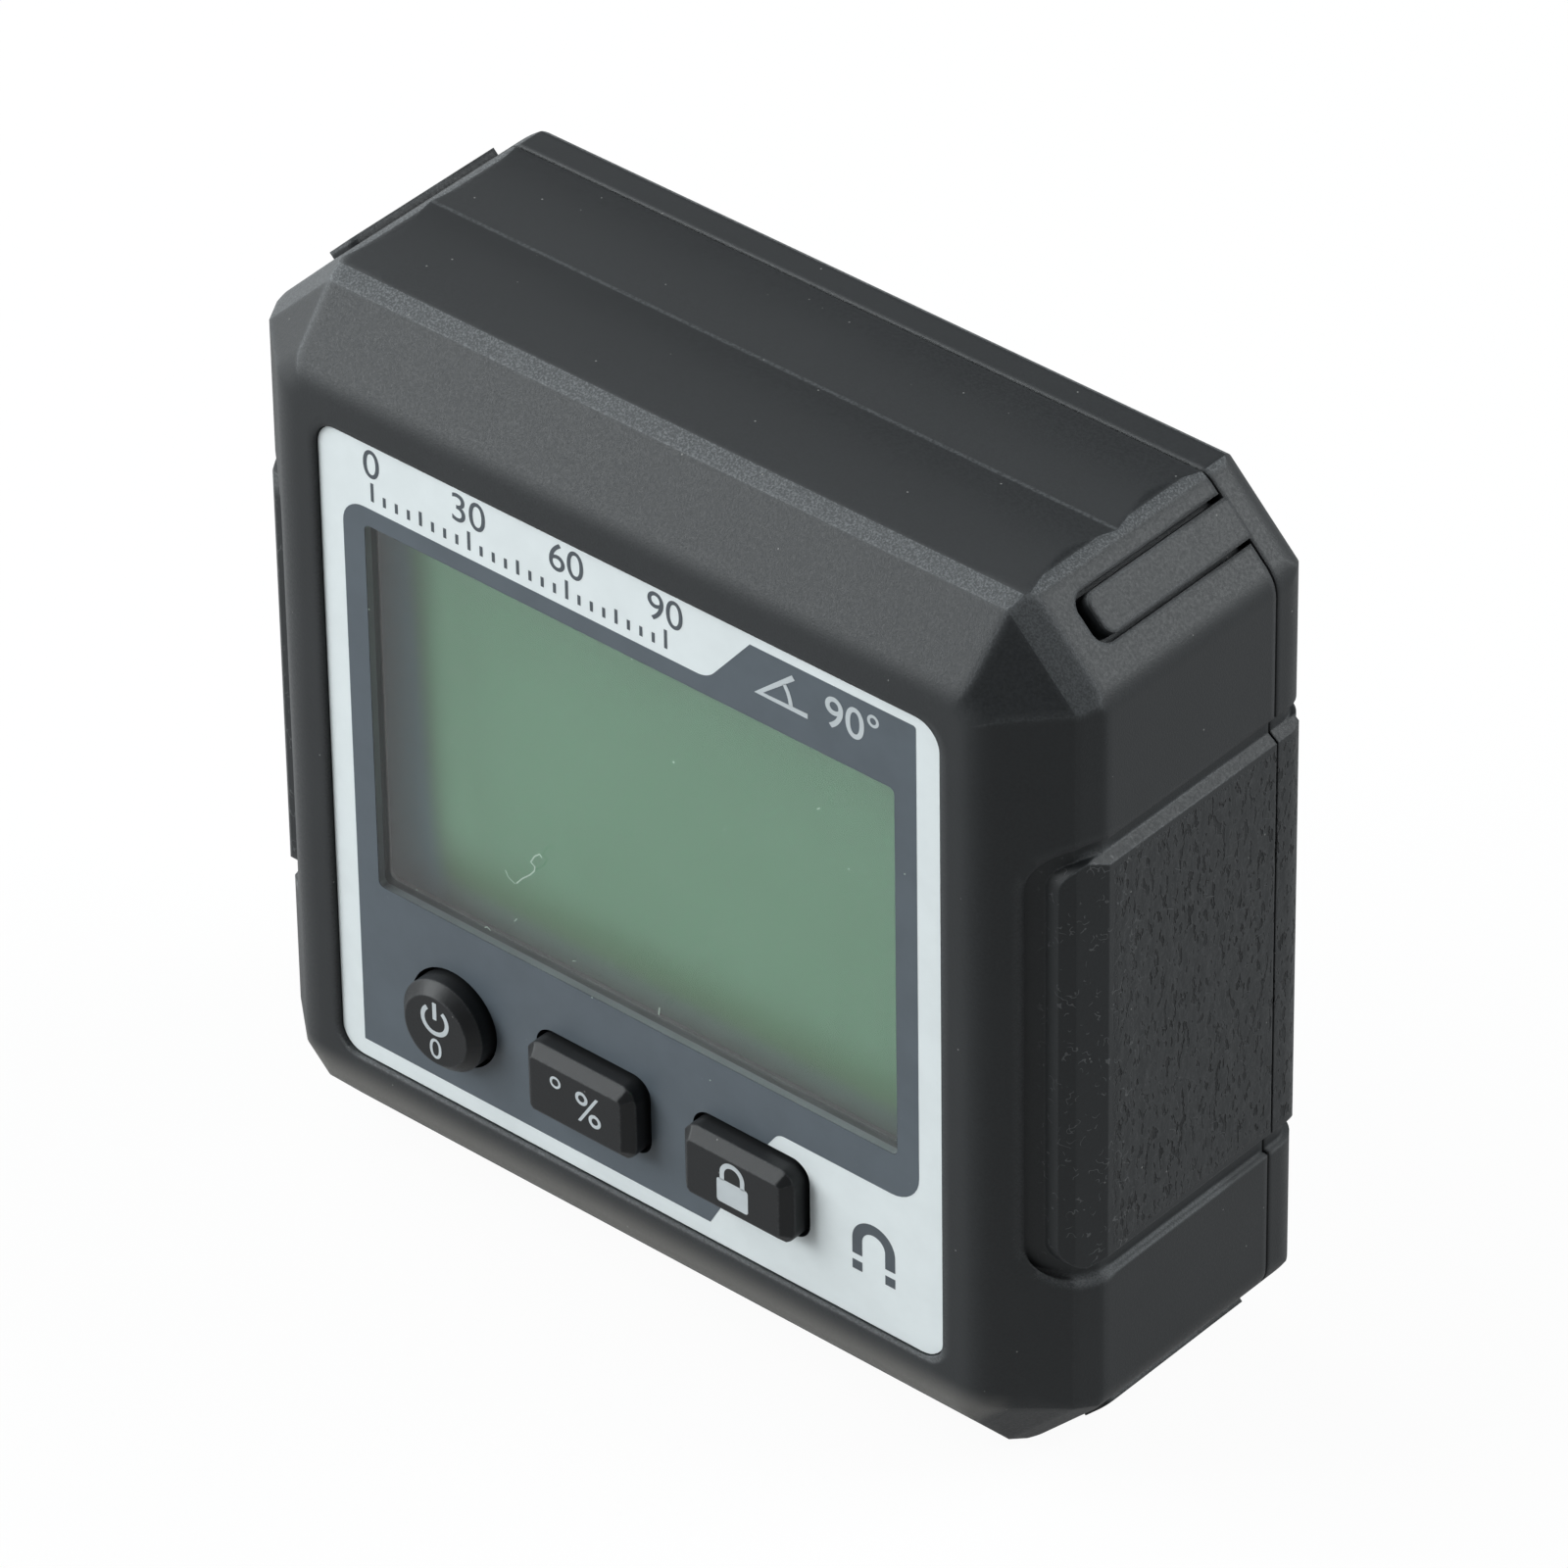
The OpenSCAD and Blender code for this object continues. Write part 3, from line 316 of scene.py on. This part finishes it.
def print_ink(name, colour, change=0.05, rough=0.34):
    """Ink on the face sheet: even colour with a faint mottle, under a satin surface."""
    made, tree, shader, place = material(name, IOR=1.49, Specular_IOR_Level=0.4)
    mottle = grain(tree, place, 0.35, 3)
    fine = grain(tree, place, 14.0, 2)
    tint = blend(tree, ramp(tree, mottle, 0.3, 0.7), shade(colour, 1 - change), shade(colour, 1 + change))
    speck = ramp(tree, grain(tree, place, 3.1, 2), 0.74, 0.8)
    tint = blend(tree, times(tree, speck, 0.1), tint, (0.5, 0.5, 0.5, 1))
    wear = ramp(tree, fine, 0.3, 0.7, rough - 0.05, rough + 0.06)
    feed(tree, shader, Base_Color=tint, Roughness=wear, Normal=bump(tree, fine, 0.004))
    return made


def clear_sheet():
    """The clear window: faint smears, and no shadow on the display behind it."""
    made, tree, shader, place = material("window_clear", IOR=1.46, Roughness=0.03, Transmission_Weight=1.0,
                                         Base_Color=(0.97, 0.985, 0.98, 1))
    smear = grain(tree, place, 0.3, 4)
    feed(tree, shader, Roughness=ramp(tree, smear, 0.35, 0.75, 0.0, 0.03))
    shadow = put(tree, "LightPath").outputs["Is Shadow Ray"]
    through = put(tree, "BsdfTransparent", {"Color": (0.95, 0.97, 0.96, 1)}).outputs[0]
    end_in(tree, put(tree, "MixShader", {0: shadow, 1: shader.outputs[0], 2: through}).outputs[0])
    return made


def display_glass():
    """The display: a green field that fades below into painted shade and at the left into its own dark border with
    painted shade; its left end and lowest edge are lightened with painted light.
    """
    made, tree, shader, place = material("display_glass", IOR=1.5)
    x, _, z = put(tree, "SeparateXYZ", {0: place}).outputs
    up = maths(tree, "SUBTRACT", z, MID)
    slanted = maths(tree, "ADD", x, times(tree, up, 0.057))
    # Painted shade: the field darkens towards the left and below, where the window's edges shade it; at the left
    # it meets the display's own dark border
    left = ramp(tree, slanted, -18.6, -16.5)
    low = ramp(tree, up, -9.3, -4.1)
    cloud = grain(tree, place, 0.06, 3)
    green = blend(tree, ramp(tree, cloud, 0.35, 0.7), shade(GREEN_DEEP), shade(GREEN_PALE))
    # Painted light: the field's left end is lightened
    green = blend(tree, ramp(tree, slanted, -16.6, -13.4, 0.6, 0.0), green, shade(LIT_GREEN_LEFT))
    # The painted shade below, lightened at its lowest edge, and the left border with its painted shade
    border_and_shade = blend(tree, ramp(tree, up, -9.6, -8.0), shade(LIFTED_SHADE_LOWEST), shade(LOW_SHADE))
    border_and_shade = blend(tree, left, shade(LEFT_BORDER_AND_SHADE), border_and_shade)
    colour = blend(tree, times(tree, left, low), border_and_shade, green)
    feed(tree, shader, Base_Color=colour, Roughness=ramp(tree, cloud, 0.3, 0.7, 0.34, 0.42))
    return made


def metal(name, colour, rough, scratch=(1, 1, 14)):
    """Plated metal with fine drawn lines."""
    made, tree, shader, place = material(name, Metallic=1.0)
    lines = grain(tree, place, 3.0, 4, stretch=scratch)
    tint = blend(tree, lines, shade(colour, 0.82), shade(colour))
    feed(tree, shader, Base_Color=tint, Roughness=ramp(tree, lines, 0.3, 0.7, rough - 0.06, rough + 0.1))
    feed(tree, shader, Normal=bump(tree, lines, 0.004))
    return made


def plain(name, colour, rough, scale=4.0, change=0.18, depth=0.006):
    """Inner parts: a moulded or coated surface with a mottled tone."""
    made, tree, shader, place = material(name)
    mottle = grain(tree, place, scale, 4)
    tint = blend(tree, mottle, shade(colour, 1 - change), shade(colour, 1 + change))
    rough = ramp(tree, mottle, 0.3, 0.7, rough - 0.05, rough + 0.08)
    feed(tree, shader, Base_Color=tint, Roughness=rough, Normal=bump(tree, mottle, depth))
    return made


HOUSING = housing_plastic("housing_plastic")
DOOR = housing_plastic("door_plastic", 1.04)
KEY = key_plastic()
WHITE = print_ink("panel_white", (0.875, 0.925, 0.932), 0.02)
SLATE = print_ink("panel_slate", (0.106, 0.128, 0.149))
MARK = print_ink("mark_slate", (0.085, 0.1, 0.115))
CUT = print_ink("sheet_edge", (0.03, 0.034, 0.038))
WALL = print_ink("window_edge", (0.062, 0.074, 0.081))
LEGEND = print_ink("legend_white", (0.6, 0.64, 0.66), 0.05, 0.5)
LINT = print_ink("pale_lint", (0.42, 0.5, 0.44), 0.1, 0.6)
FIBRE = print_ink("grey_fibre", (0.09, 0.093, 0.096), 0.2, 0.6)
NICKEL = metal("nickel_plating", (0.66, 0.65, 0.62), 0.26)
ZINC = metal("zinc_plating", (0.5, 0.5, 0.5), 0.36, (6, 6, 6))

looks = {
    "front_housing": HOUSING, "back_cover": HOUSING, "battery_door": DOOR,
    "power_button": KEY, "unit_button": KEY, "hold_button": KEY,
    "lcd_glass": display_glass(),
    "backlight": plain("light_guide", (0.72, 0.77, 0.68), 0.35, 0.8, 0.06),
    "lcd_connectors": plain("strip_rubber", (0.55, 0.22, 0.27), 0.7, 9.0),
    "main_board": plain("solder_mask", (0.02, 0.12, 0.05), 0.32, 1.6),
    "key_switches": metal("switch_can", (0.62, 0.62, 0.6), 0.32),
    "controller_chip": plain("chip_resin", (0.02, 0.02, 0.021), 0.55, 12.0),
    "tilt_sensor": metal("sensor_lid", (0.62, 0.61, 0.58), 0.3, (8, 1, 1)),
    "board_screws": ZINC, "case_screws": ZINC,
    "battery_cells": plain("cell_sleeve", (0.33, 0.34, 0.36), 0.34, 0.7, 0.1),
    "contact_springs": NICKEL, "contact_plates": NICKEL, "base_magnets": NICKEL,
}
for name, look in looks.items():
    held = nodes[name].data.materials
    held.clear()
    held.append(look)


# Outlines on the face, in millimetres from the panel's middle

def rounded(points, radii, steps=8):
    """A closed outline with its own radius at each corner."""
    out = []
    for i, (p, r) in enumerate(zip(points, radii)):
        p, before, after = Vector(p), Vector(points[i - 1]), Vector(points[(i + 1) % len(points)])
        if r == 0:
            out.append(tuple(p))
            continue
        a, b = (before - p).normalized(), (after - p).normalized()
        half = a.angle(b) / 2
        centre = p + (a + b).normalized() * r / math.sin(half)
        start = p + a * r / math.tan(half) - centre
        end = p + b * r / math.tan(half) - centre
        first = math.atan2(start.y, start.x)
        turn = math.remainder(math.atan2(end.y, end.x) - first, math.tau)
        for k in range(steps + 1):
            angle = first + turn * k / steps
            out.append((centre.x + r * math.cos(angle), centre.y + r * math.sin(angle)))
    return out


def box(x0, x1, z0, z1, r=0.0):
    return rounded([(x0, z0), (x1, z0), (x1, z1), (x0, z1)], [r] * 4)


def arc(cx, cz, r, start, end, steps):
    turns = [math.radians(start + (end - start) * k / steps) for k in range(steps + 1)]
    return [(cx + r * math.cos(t), cz + r * math.sin(t)) for t in turns]


def ring(cx, cz, r):
    return arc(cx, cz, r, 0, 360, 48)[:-1]


def stroke(points, width):
    """The outline of a drawn line with flat ends."""
    points = [Vector(p) for p in points]
    left, right = [], []
    for i, p in enumerate(points):
        ahead = points[min(i + 1, len(points) - 1)] - p
        behind = p - points[max(i - 1, 0)]
        along = (ahead.normalized() + behind.normalized()).normalized()
        across = Vector((-along.y, along.x)) * width / 2
        square = ahead.normalized() if ahead.length else behind.normalized()
        across /= max(0.5, abs(along.dot(square)))
        left.append(tuple(p + across))
        right.append(tuple(p - across))
    return left + right[::-1]


# Pieces made from outlines and figures

FILM = 0.012
INK = FACE - FILM
KEY_INK = KEY_FRONT - FILM


def piece(made, body):
    if made.name not in scene.collection.objects:
        scene.collection.objects.link(made)
    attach(made, body)
    return made


def solid(name, curve, y_front, y_back, look, body, edge=None):
    """A flat curve drawn across the front, made into a plate between two places along Y."""
    curve.dimensions = "2D"
    curve.fill_mode = "BOTH"
    curve.extrude = (y_back - y_front) / 2 * MM
    drawn = bpy.data.objects.new(name + ".drawn", curve)
    scene.collection.objects.link(drawn)
    bpy.context.view_layer.update()
    mesh = bpy.data.meshes.new_from_object(drawn.evaluated_get(bpy.context.evaluated_depsgraph_get()))
    bpy.data.objects.remove(drawn)
    upright = Matrix.Rotation(math.pi / 2, 4, "X")
    mesh.transform(Matrix.Translation((0, (y_front + y_back) / 2 * MM, MID * MM)) @ upright)
    mesh.materials.clear()
    mesh.materials.append(look)
    if edge:
        mesh.materials.append(edge)
        for face in mesh.polygons:
            face.material_index = int(abs(face.normal.y) < 0.5)
    mesh.name = name
    return piece(bpy.data.objects.new(name, mesh), body)


def plate(name, loops, y_front, y_back, look, body="housing", edge=None):
    """A plate from closed outlines; an outline inside another is a hole."""
    curve = bpy.data.curves.new(name, "CURVE")
    for loop in loops:
        spline = curve.splines.new("POLY")
        spline.points.add(len(loop) - 1)
        for point, (x, z) in zip(spline.points, loop):
            point.co = (x * MM, z * MM, 0, 1)
        spline.use_cyclic_u = True
    return solid(name, curve, y_front, y_back, look, body, edge)


def figures(name, text, x, z, size, y_front, look, body="housing", bold=0.0):
    curve = bpy.data.curves.new(name, "FONT")
    curve.body = text
    curve.size = size * MM
    curve.offset = bold * MM
    curve.align_x = "CENTER"
    curve.align_y = "CENTER"
    curve.offset_x = x * MM
    curve.offset_y = z * MM
    return solid(name, curve, y_front, y_front + FILM, look, body)


# The face sheet, with its window and the holes for the keys
ROUND_X, KEY_Z = middle("power_button")
UNIT_X = middle("unit_button")[0]
HOLD_X = middle("hold_button")[0]
KEY_HALF_W, KEY_HALF_H, KEY_CORNER = 4.05, 2.5, 1
ROUND_KEY_R = 3
KEY_GAP = 0.25
WINDOW_HALF, WINDOW_LOW, WINDOW_HIGH, WINDOW_CORNER = 19.3, -8.95, 16.2, 0.4
PANE_GAP, PANE_RECESS = 0.02, 0.004


def key_hole(x):
    w, h = KEY_HALF_W + KEY_GAP, KEY_HALF_H + KEY_GAP
    return box(x - w, x + w, KEY_Z - h, KEY_Z + h, KEY_CORNER + KEY_GAP)


panel = box(-PANEL_W / 2, PANEL_W / 2, -PANEL_H / 2, PANEL_H / 2, PANEL_CORNER)
opening = box(-WINDOW_HALF, WINDOW_HALF, WINDOW_LOW, WINDOW_HIGH, WINDOW_CORNER)
pane = box(-WINDOW_HALF + PANE_GAP, WINDOW_HALF - PANE_GAP, WINDOW_LOW + PANE_GAP, WINDOW_HIGH - PANE_GAP,
           WINDOW_CORNER)
round_hole = ring(ROUND_X, KEY_Z, ROUND_KEY_R + KEY_GAP)
sheet = plate("face_sheet", [panel, opening, round_hole, key_hole(UNIT_X), key_hole(HOLD_X)], FACE, FACE + PANEL_T,
              WHITE, edge=CUT)
plate("face_window", [pane], FACE + PANE_RECESS, FACE + PANEL_T, clear_sheet(), edge=WALL)
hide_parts("face_panel")

# The slate field, which runs round the window and ends in a sloping edge at the right key
FIELD_LEFT, FIELD_RIGHT = -20.9, 20.85
FIELD_LOW, FIELD_STEP, FIELD_BAND, FIELD_HIGH = -20.7, -11.8, 17.4, 21.1
SLOPE_X = 5.4
SLOPE = (10.3 - SLOPE_X) / (-12.0 - FIELD_LOW)
side = HOLD_X - KEY_HALF_W - KEY_GAP
low, high = KEY_Z - KEY_HALF_H - KEY_GAP, KEY_Z + KEY_HALF_H + KEY_GAP
field = rounded(
    [(FIELD_LEFT, FIELD_LOW), (SLOPE_X, FIELD_LOW), (SLOPE_X + (low - FIELD_LOW) * SLOPE, low),
     (side, low), (side, high), (SLOPE_X + (high - FIELD_LOW) * SLOPE, high),
     (10.6, FIELD_STEP), (FIELD_RIGHT, FIELD_STEP), (FIELD_RIGHT, FIELD_HIGH), (9.1, FIELD_HIGH),
     (6.0, FIELD_BAND), (FIELD_LEFT, FIELD_BAND)],
    [0, 0, 0, KEY_CORNER + KEY_GAP, KEY_CORNER + KEY_GAP, 0, 0.9, 2.0, 0.2, 0, 1.6, 1.6])
plate("slate_field", [field, opening, round_hole, key_hole(UNIT_X)], INK, FACE, SLATE)

# A plain angle scale in the upper band
SCALE_LEFT, SCALE_FOOT, FIGURE_Z = -18.6, 18.0, 20.4
TICK_STEP, TICK_HALF_W = 0.9, 0.11
ticks = []
for k in range(25):
    x = SCALE_LEFT + TICK_STEP * k
    tall = 1.25 if k % 8 == 0 else 0.95 if k % 4 == 0 else 0.65
    ticks.append(box(x - TICK_HALF_W, x + TICK_HALF_W, SCALE_FOOT, SCALE_FOOT + tall))
plate("scale_ticks", ticks, INK, FACE, MARK)
for k, text in enumerate(("0", "30", "60", "90")):
    figures("scale_" + text, text, SCALE_LEFT + 8 * TICK_STEP * k, FIGURE_Z, 2.7, INK, MARK)

# An angle sign at the upper right
x, z = 9.7, 18.2
plate("angle_sign", [stroke([(x + 2.5, z + 2.1), (x, z), (x + 3.5, z)], 0.34)], INK - FILM, INK, LEGEND)
plate("angle_arc", [stroke(arc(x, z, 2.3, 3, 37, 10), 0.28)], INK - FILM, INK, LEGEND)
figures("angle_figure", "90°", 16.4, 19.2, 2.9, INK - FILM, LEGEND, bold=0.02)

# A plain horseshoe for the magnetic base
x, z = 17.5, -16.35
SHOE_R, SHOE_W = 1.2, 0.72
shoe = [(x - SHOE_R, z - 1.05)] + arc(x, z, SHOE_R, 180, 0, 24) + [(x + SHOE_R, z - 1.05)]
tips = [box(x + s * SHOE_R - SHOE_W / 2, x + s * SHOE_R + SHOE_W / 2, z - 2.15, z - 1.5) for s in (-1, 1)]
plate("horseshoe", [stroke(shoe, SHOE_W)], INK, FACE, MARK)
plate("horseshoe_tips", tips, INK, FACE, MARK)


# Legends on the keys: a power sign with a nought, the two units and a padlock

def legend(name, loop, body):
    plate(name, [loop], KEY_INK, KEY_FRONT, LEGEND, body)


legend("power_ring", stroke(arc(ROUND_X, KEY_Z + 0.75, 0.92, 128, 412, 40), 0.3), "power_key")
legend("power_bar", box(ROUND_X - 0.15, ROUND_X + 0.15, KEY_Z + 0.8, KEY_Z + 2.0, 0.05), "power_key")
figures("zero_figure", "0", ROUND_X, KEY_Z - 1.35, 2.0, KEY_INK, LEGEND, "power_key")
figures("unit_figure", "° %", UNIT_X, KEY_Z, 3.0, KEY_INK, LEGEND, "unit_key")
legend("lock_body", box(HOLD_X - 1.15, HOLD_X + 1.15, KEY_Z - 1.35, KEY_Z + 0.3, 0.2), "hold_key")
SHACKLE_R = 0.75
shackle = ([(HOLD_X - SHACKLE_R, KEY_Z + 0.25)] + arc(HOLD_X, KEY_Z + 0.75, SHACKLE_R, 180, 0, 20)
           + [(HOLD_X + SHACKLE_R, KEY_Z + 0.25)])
legend("lock_shackle", stroke(shackle, 0.32), "hold_key")

# A curled fibre, short dashes and dots of dust that lie on the window and the print
LINT_T = 0.006
curl = [(-6.65, -0.9), (-6.8, -0.72), (-7.2, -1.05), (-7.5, -1.6), (-7.2, -1.78), (-7.25, -2.1), (-7.6, -2.55),
        (-8.2, -3.1), (-8.65, -3.65)]
tail = [(-8.75, -3.72), (-9.25, -3.5), (-9.45, -3.1)]
dashes = [(curl, 0.09), (tail, 0.06), ([(1.85, -7.75), (1.93, -7.2)], 0.1), ([(-4.55, -7.1), (-4.3, -7.0)], 0.06),
          ([(-8.9, -6.45), (-8.7, -6.15)], 0.07), ([(-11.2, -8.0), (-11.0, -7.85), (-10.75, -8.0)], 0.06),
          ([(13.75, 12.25), (14.0, 12.4)], 0.06)]
dots = [(-19.2, 10.4, 0.1), (0.5, 16.1, 0.09), (3.4, 10.5, 0.14), (7.05, 7.65, 0.1), (-16.35, -7.85, 0.1),
        (20.0, 10.85, 0.1), (16.0, 9.25, 0.09), (5.6, -10.5, 0.1), (-3.15, -9.0, 0.11), (11.4, -3.3, 0.08),
        (-13.2, 4.1, 0.08)]
lint = [stroke(points, width) for points, width in dashes] + [ring(x, z, d / 2) for x, z, d in dots]
plate("window_lint", lint, INK - LINT_T, INK, LINT)

# Fine fibres caught in the grips' grain
LINT_LIFT = 0.008
SPINE = (0, 0.35, 0.7, 1)
chance = random.Random(5)
for name, side in (("grip_lint_right", 1), ("grip_lint_left", -1)):
    corners, faces = [], []
    for k in range(150):
        y, z = chance.uniform(FRONT + 5.9, FRONT + 19.2), MID + chance.uniform(-12.8, 12.8)
        turn, length, bend = chance.uniform(0, math.pi), chance.uniform(0.25, 0.8), chance.uniform(-0.5, 0.5)
        spine = [(y + length * t * math.cos(turn + bend * t), z + length * t * math.sin(turn + bend * t))
                 for t in SPINE]
        outline = stroke(spine, chance.uniform(0.025, 0.045))
        first, last = len(corners), len(corners) + len(outline) - 1
        corners += [((HALF + LINT_LIFT) * side * MM, a * MM, b * MM) for a, b in outline]
        for i in range(len(SPINE) - 1):
            faces.append((first + i, first + i + 1, last - 1 - i, last - i))
    mesh = bpy.data.meshes.new(name)
    mesh.from_pydata(corners, [], faces)
    mesh.materials.append(FIBRE)
    piece(bpy.data.objects.new(name, mesh), "housing")


# The studio: soft lamps, a bright world that the camera sees, a pale floor and the camera

LAMP_DISTANCE, LAMP_SIZE = 0.9, 0.6
LAMP_COLOUR = (0.94, 0.985, 1)
WHITE_LIGHT = (1, 1, 1, 1)


def softbox(name, azimuth, elevation, power):
    """A square lamp; azimuth 0 is in front of the gauge and grows to its right."""
    a, e = math.radians(azimuth), math.radians(elevation)
    away = Vector((math.sin(a) * math.cos(e), -math.cos(a) * math.cos(e), math.sin(e)))
    lamp = bpy.data.lights.new(name, "AREA")
    lamp.size = LAMP_SIZE
    lamp.energy = power
    lamp.color = LAMP_COLOUR
    held = bpy.data.objects.new(name, lamp)
    scene.collection.objects.link(held)
    held.location = Vector((0, 0, 0.03)) + away * LAMP_DISTANCE
    held.rotation_euler = away.to_track_quat("Z", "Y").to_euler()


softbox("front_left", -55, 30, 5.8)
softbox("front", -42, 10, 4.2)
softbox("left_low", -100, 8, 2.6)
softbox("left_high", -82, 58, 1.8)
softbox("left_back", -120, 45, 0.6)
softbox("right_back", 135, 32, 6.8)


def seen_share(tree, path, glossy):
    """All of what the camera sees, itself or through glass, and a share of what shows in reflections."""
    seen = maths(tree, "MAXIMUM", path["Is Camera Ray"], path["Is Transmission Ray"])
    return maths(tree, "MAXIMUM", seen, times(tree, path["Is Glossy Ray"], glossy))


world = bpy.data.worlds.new("studio")
world.use_nodes = True
tree = world.node_tree
dim = tree.nodes["Background"]
dim.inputs["Color"].default_value = WHITE_LIGHT
dim.inputs["Strength"].default_value = 0.03
bright = put(tree, "Background", {"Color": WHITE_LIGHT, "Strength": 1.0}).outputs[0]
share = seen_share(tree, put(tree, "LightPath").outputs, 0.15)
end_in(tree, put(tree, "MixShader", {0: share, 1: dim.outputs[0], 2: bright}).outputs[0], "World Output")
scene.world = world

FLOOR_HALF, FLOOR_Z = 3, -2e-5
ground = bpy.data.meshes.new("floor")
ground.from_pydata([(x * FLOOR_HALF, y * FLOOR_HALF, FLOOR_Z) for x, y in ((-1, -1), (1, -1), (1, 1), (-1, 1))],
                   [], [(0, 1, 2, 3)])
floor = bpy.data.objects.new("floor", ground)
scene.collection.objects.link(floor)
pale, tree, shader, place = material("floor_pale", Roughness=0.8, Specular_IOR_Level=0.1)
path = put(tree, "LightPath").outputs
mild = blend(tree, grain(tree, place, 0.004, 3), shade((0.38, 0.38, 0.38)), shade((0.42, 0.42, 0.42)))
feed(tree, shader, Base_Color=blend(tree, path["Is Camera Ray"], mild, shade((0.93, 0.93, 0.93))))

# The floor glows for the camera, and its reflection dims towards the front right
x, y, _ = put(tree, "SeparateXYZ", {0: place}).outputs
sheen = ramp(tree, maths(tree, "SUBTRACT", x, y), 15.0, 90.0, 0.38, 0.08)
away = put(tree, "VectorMath", {0: place}, operation="LENGTH").outputs["Value"]
share = times(tree, seen_share(tree, path, sheen), ramp(tree, away, 120.0, 600.0, 0.95, 1.0))
glow = put(tree, "Emission", {"Color": WHITE_LIGHT, "Strength": 1.0}).outputs[0]
shown = put(tree, "MixShader", {0: share, 1: shader.outputs[0], 2: glow}).outputs[0]

# From below it is clear, so that the base can be seen
under = put(tree, "NewGeometry").outputs["Backfacing"]
clear = put(tree, "BsdfTransparent").outputs[0]
end_in(tree, put(tree, "MixShader", {0: under, 1: shown, 2: clear}).outputs[0])
ground.materials.append(pale)

# The camera, fitted to the photograph: the directions right, up and back, and its place in metres
lens = bpy.data.cameras.new("camera")
lens.lens = 270
lens.sensor_width = 36
lens.clip_start = 0.05
lens.clip_end = 20
camera = bpy.data.objects.new("camera", lens)
scene.collection.objects.link(camera)
axes = Matrix(((0.75704, 0.65325, -0.01243), (-0.38174, 0.45768, 0.80300), (0.53025, -0.60316, 0.59585)))
camera.matrix_world = Matrix.Translation((0.349856, -0.395435, 0.422483)) @ axes.transposed().to_4x4()
scene.camera = camera
scene.view_settings.view_transform = "Standard"
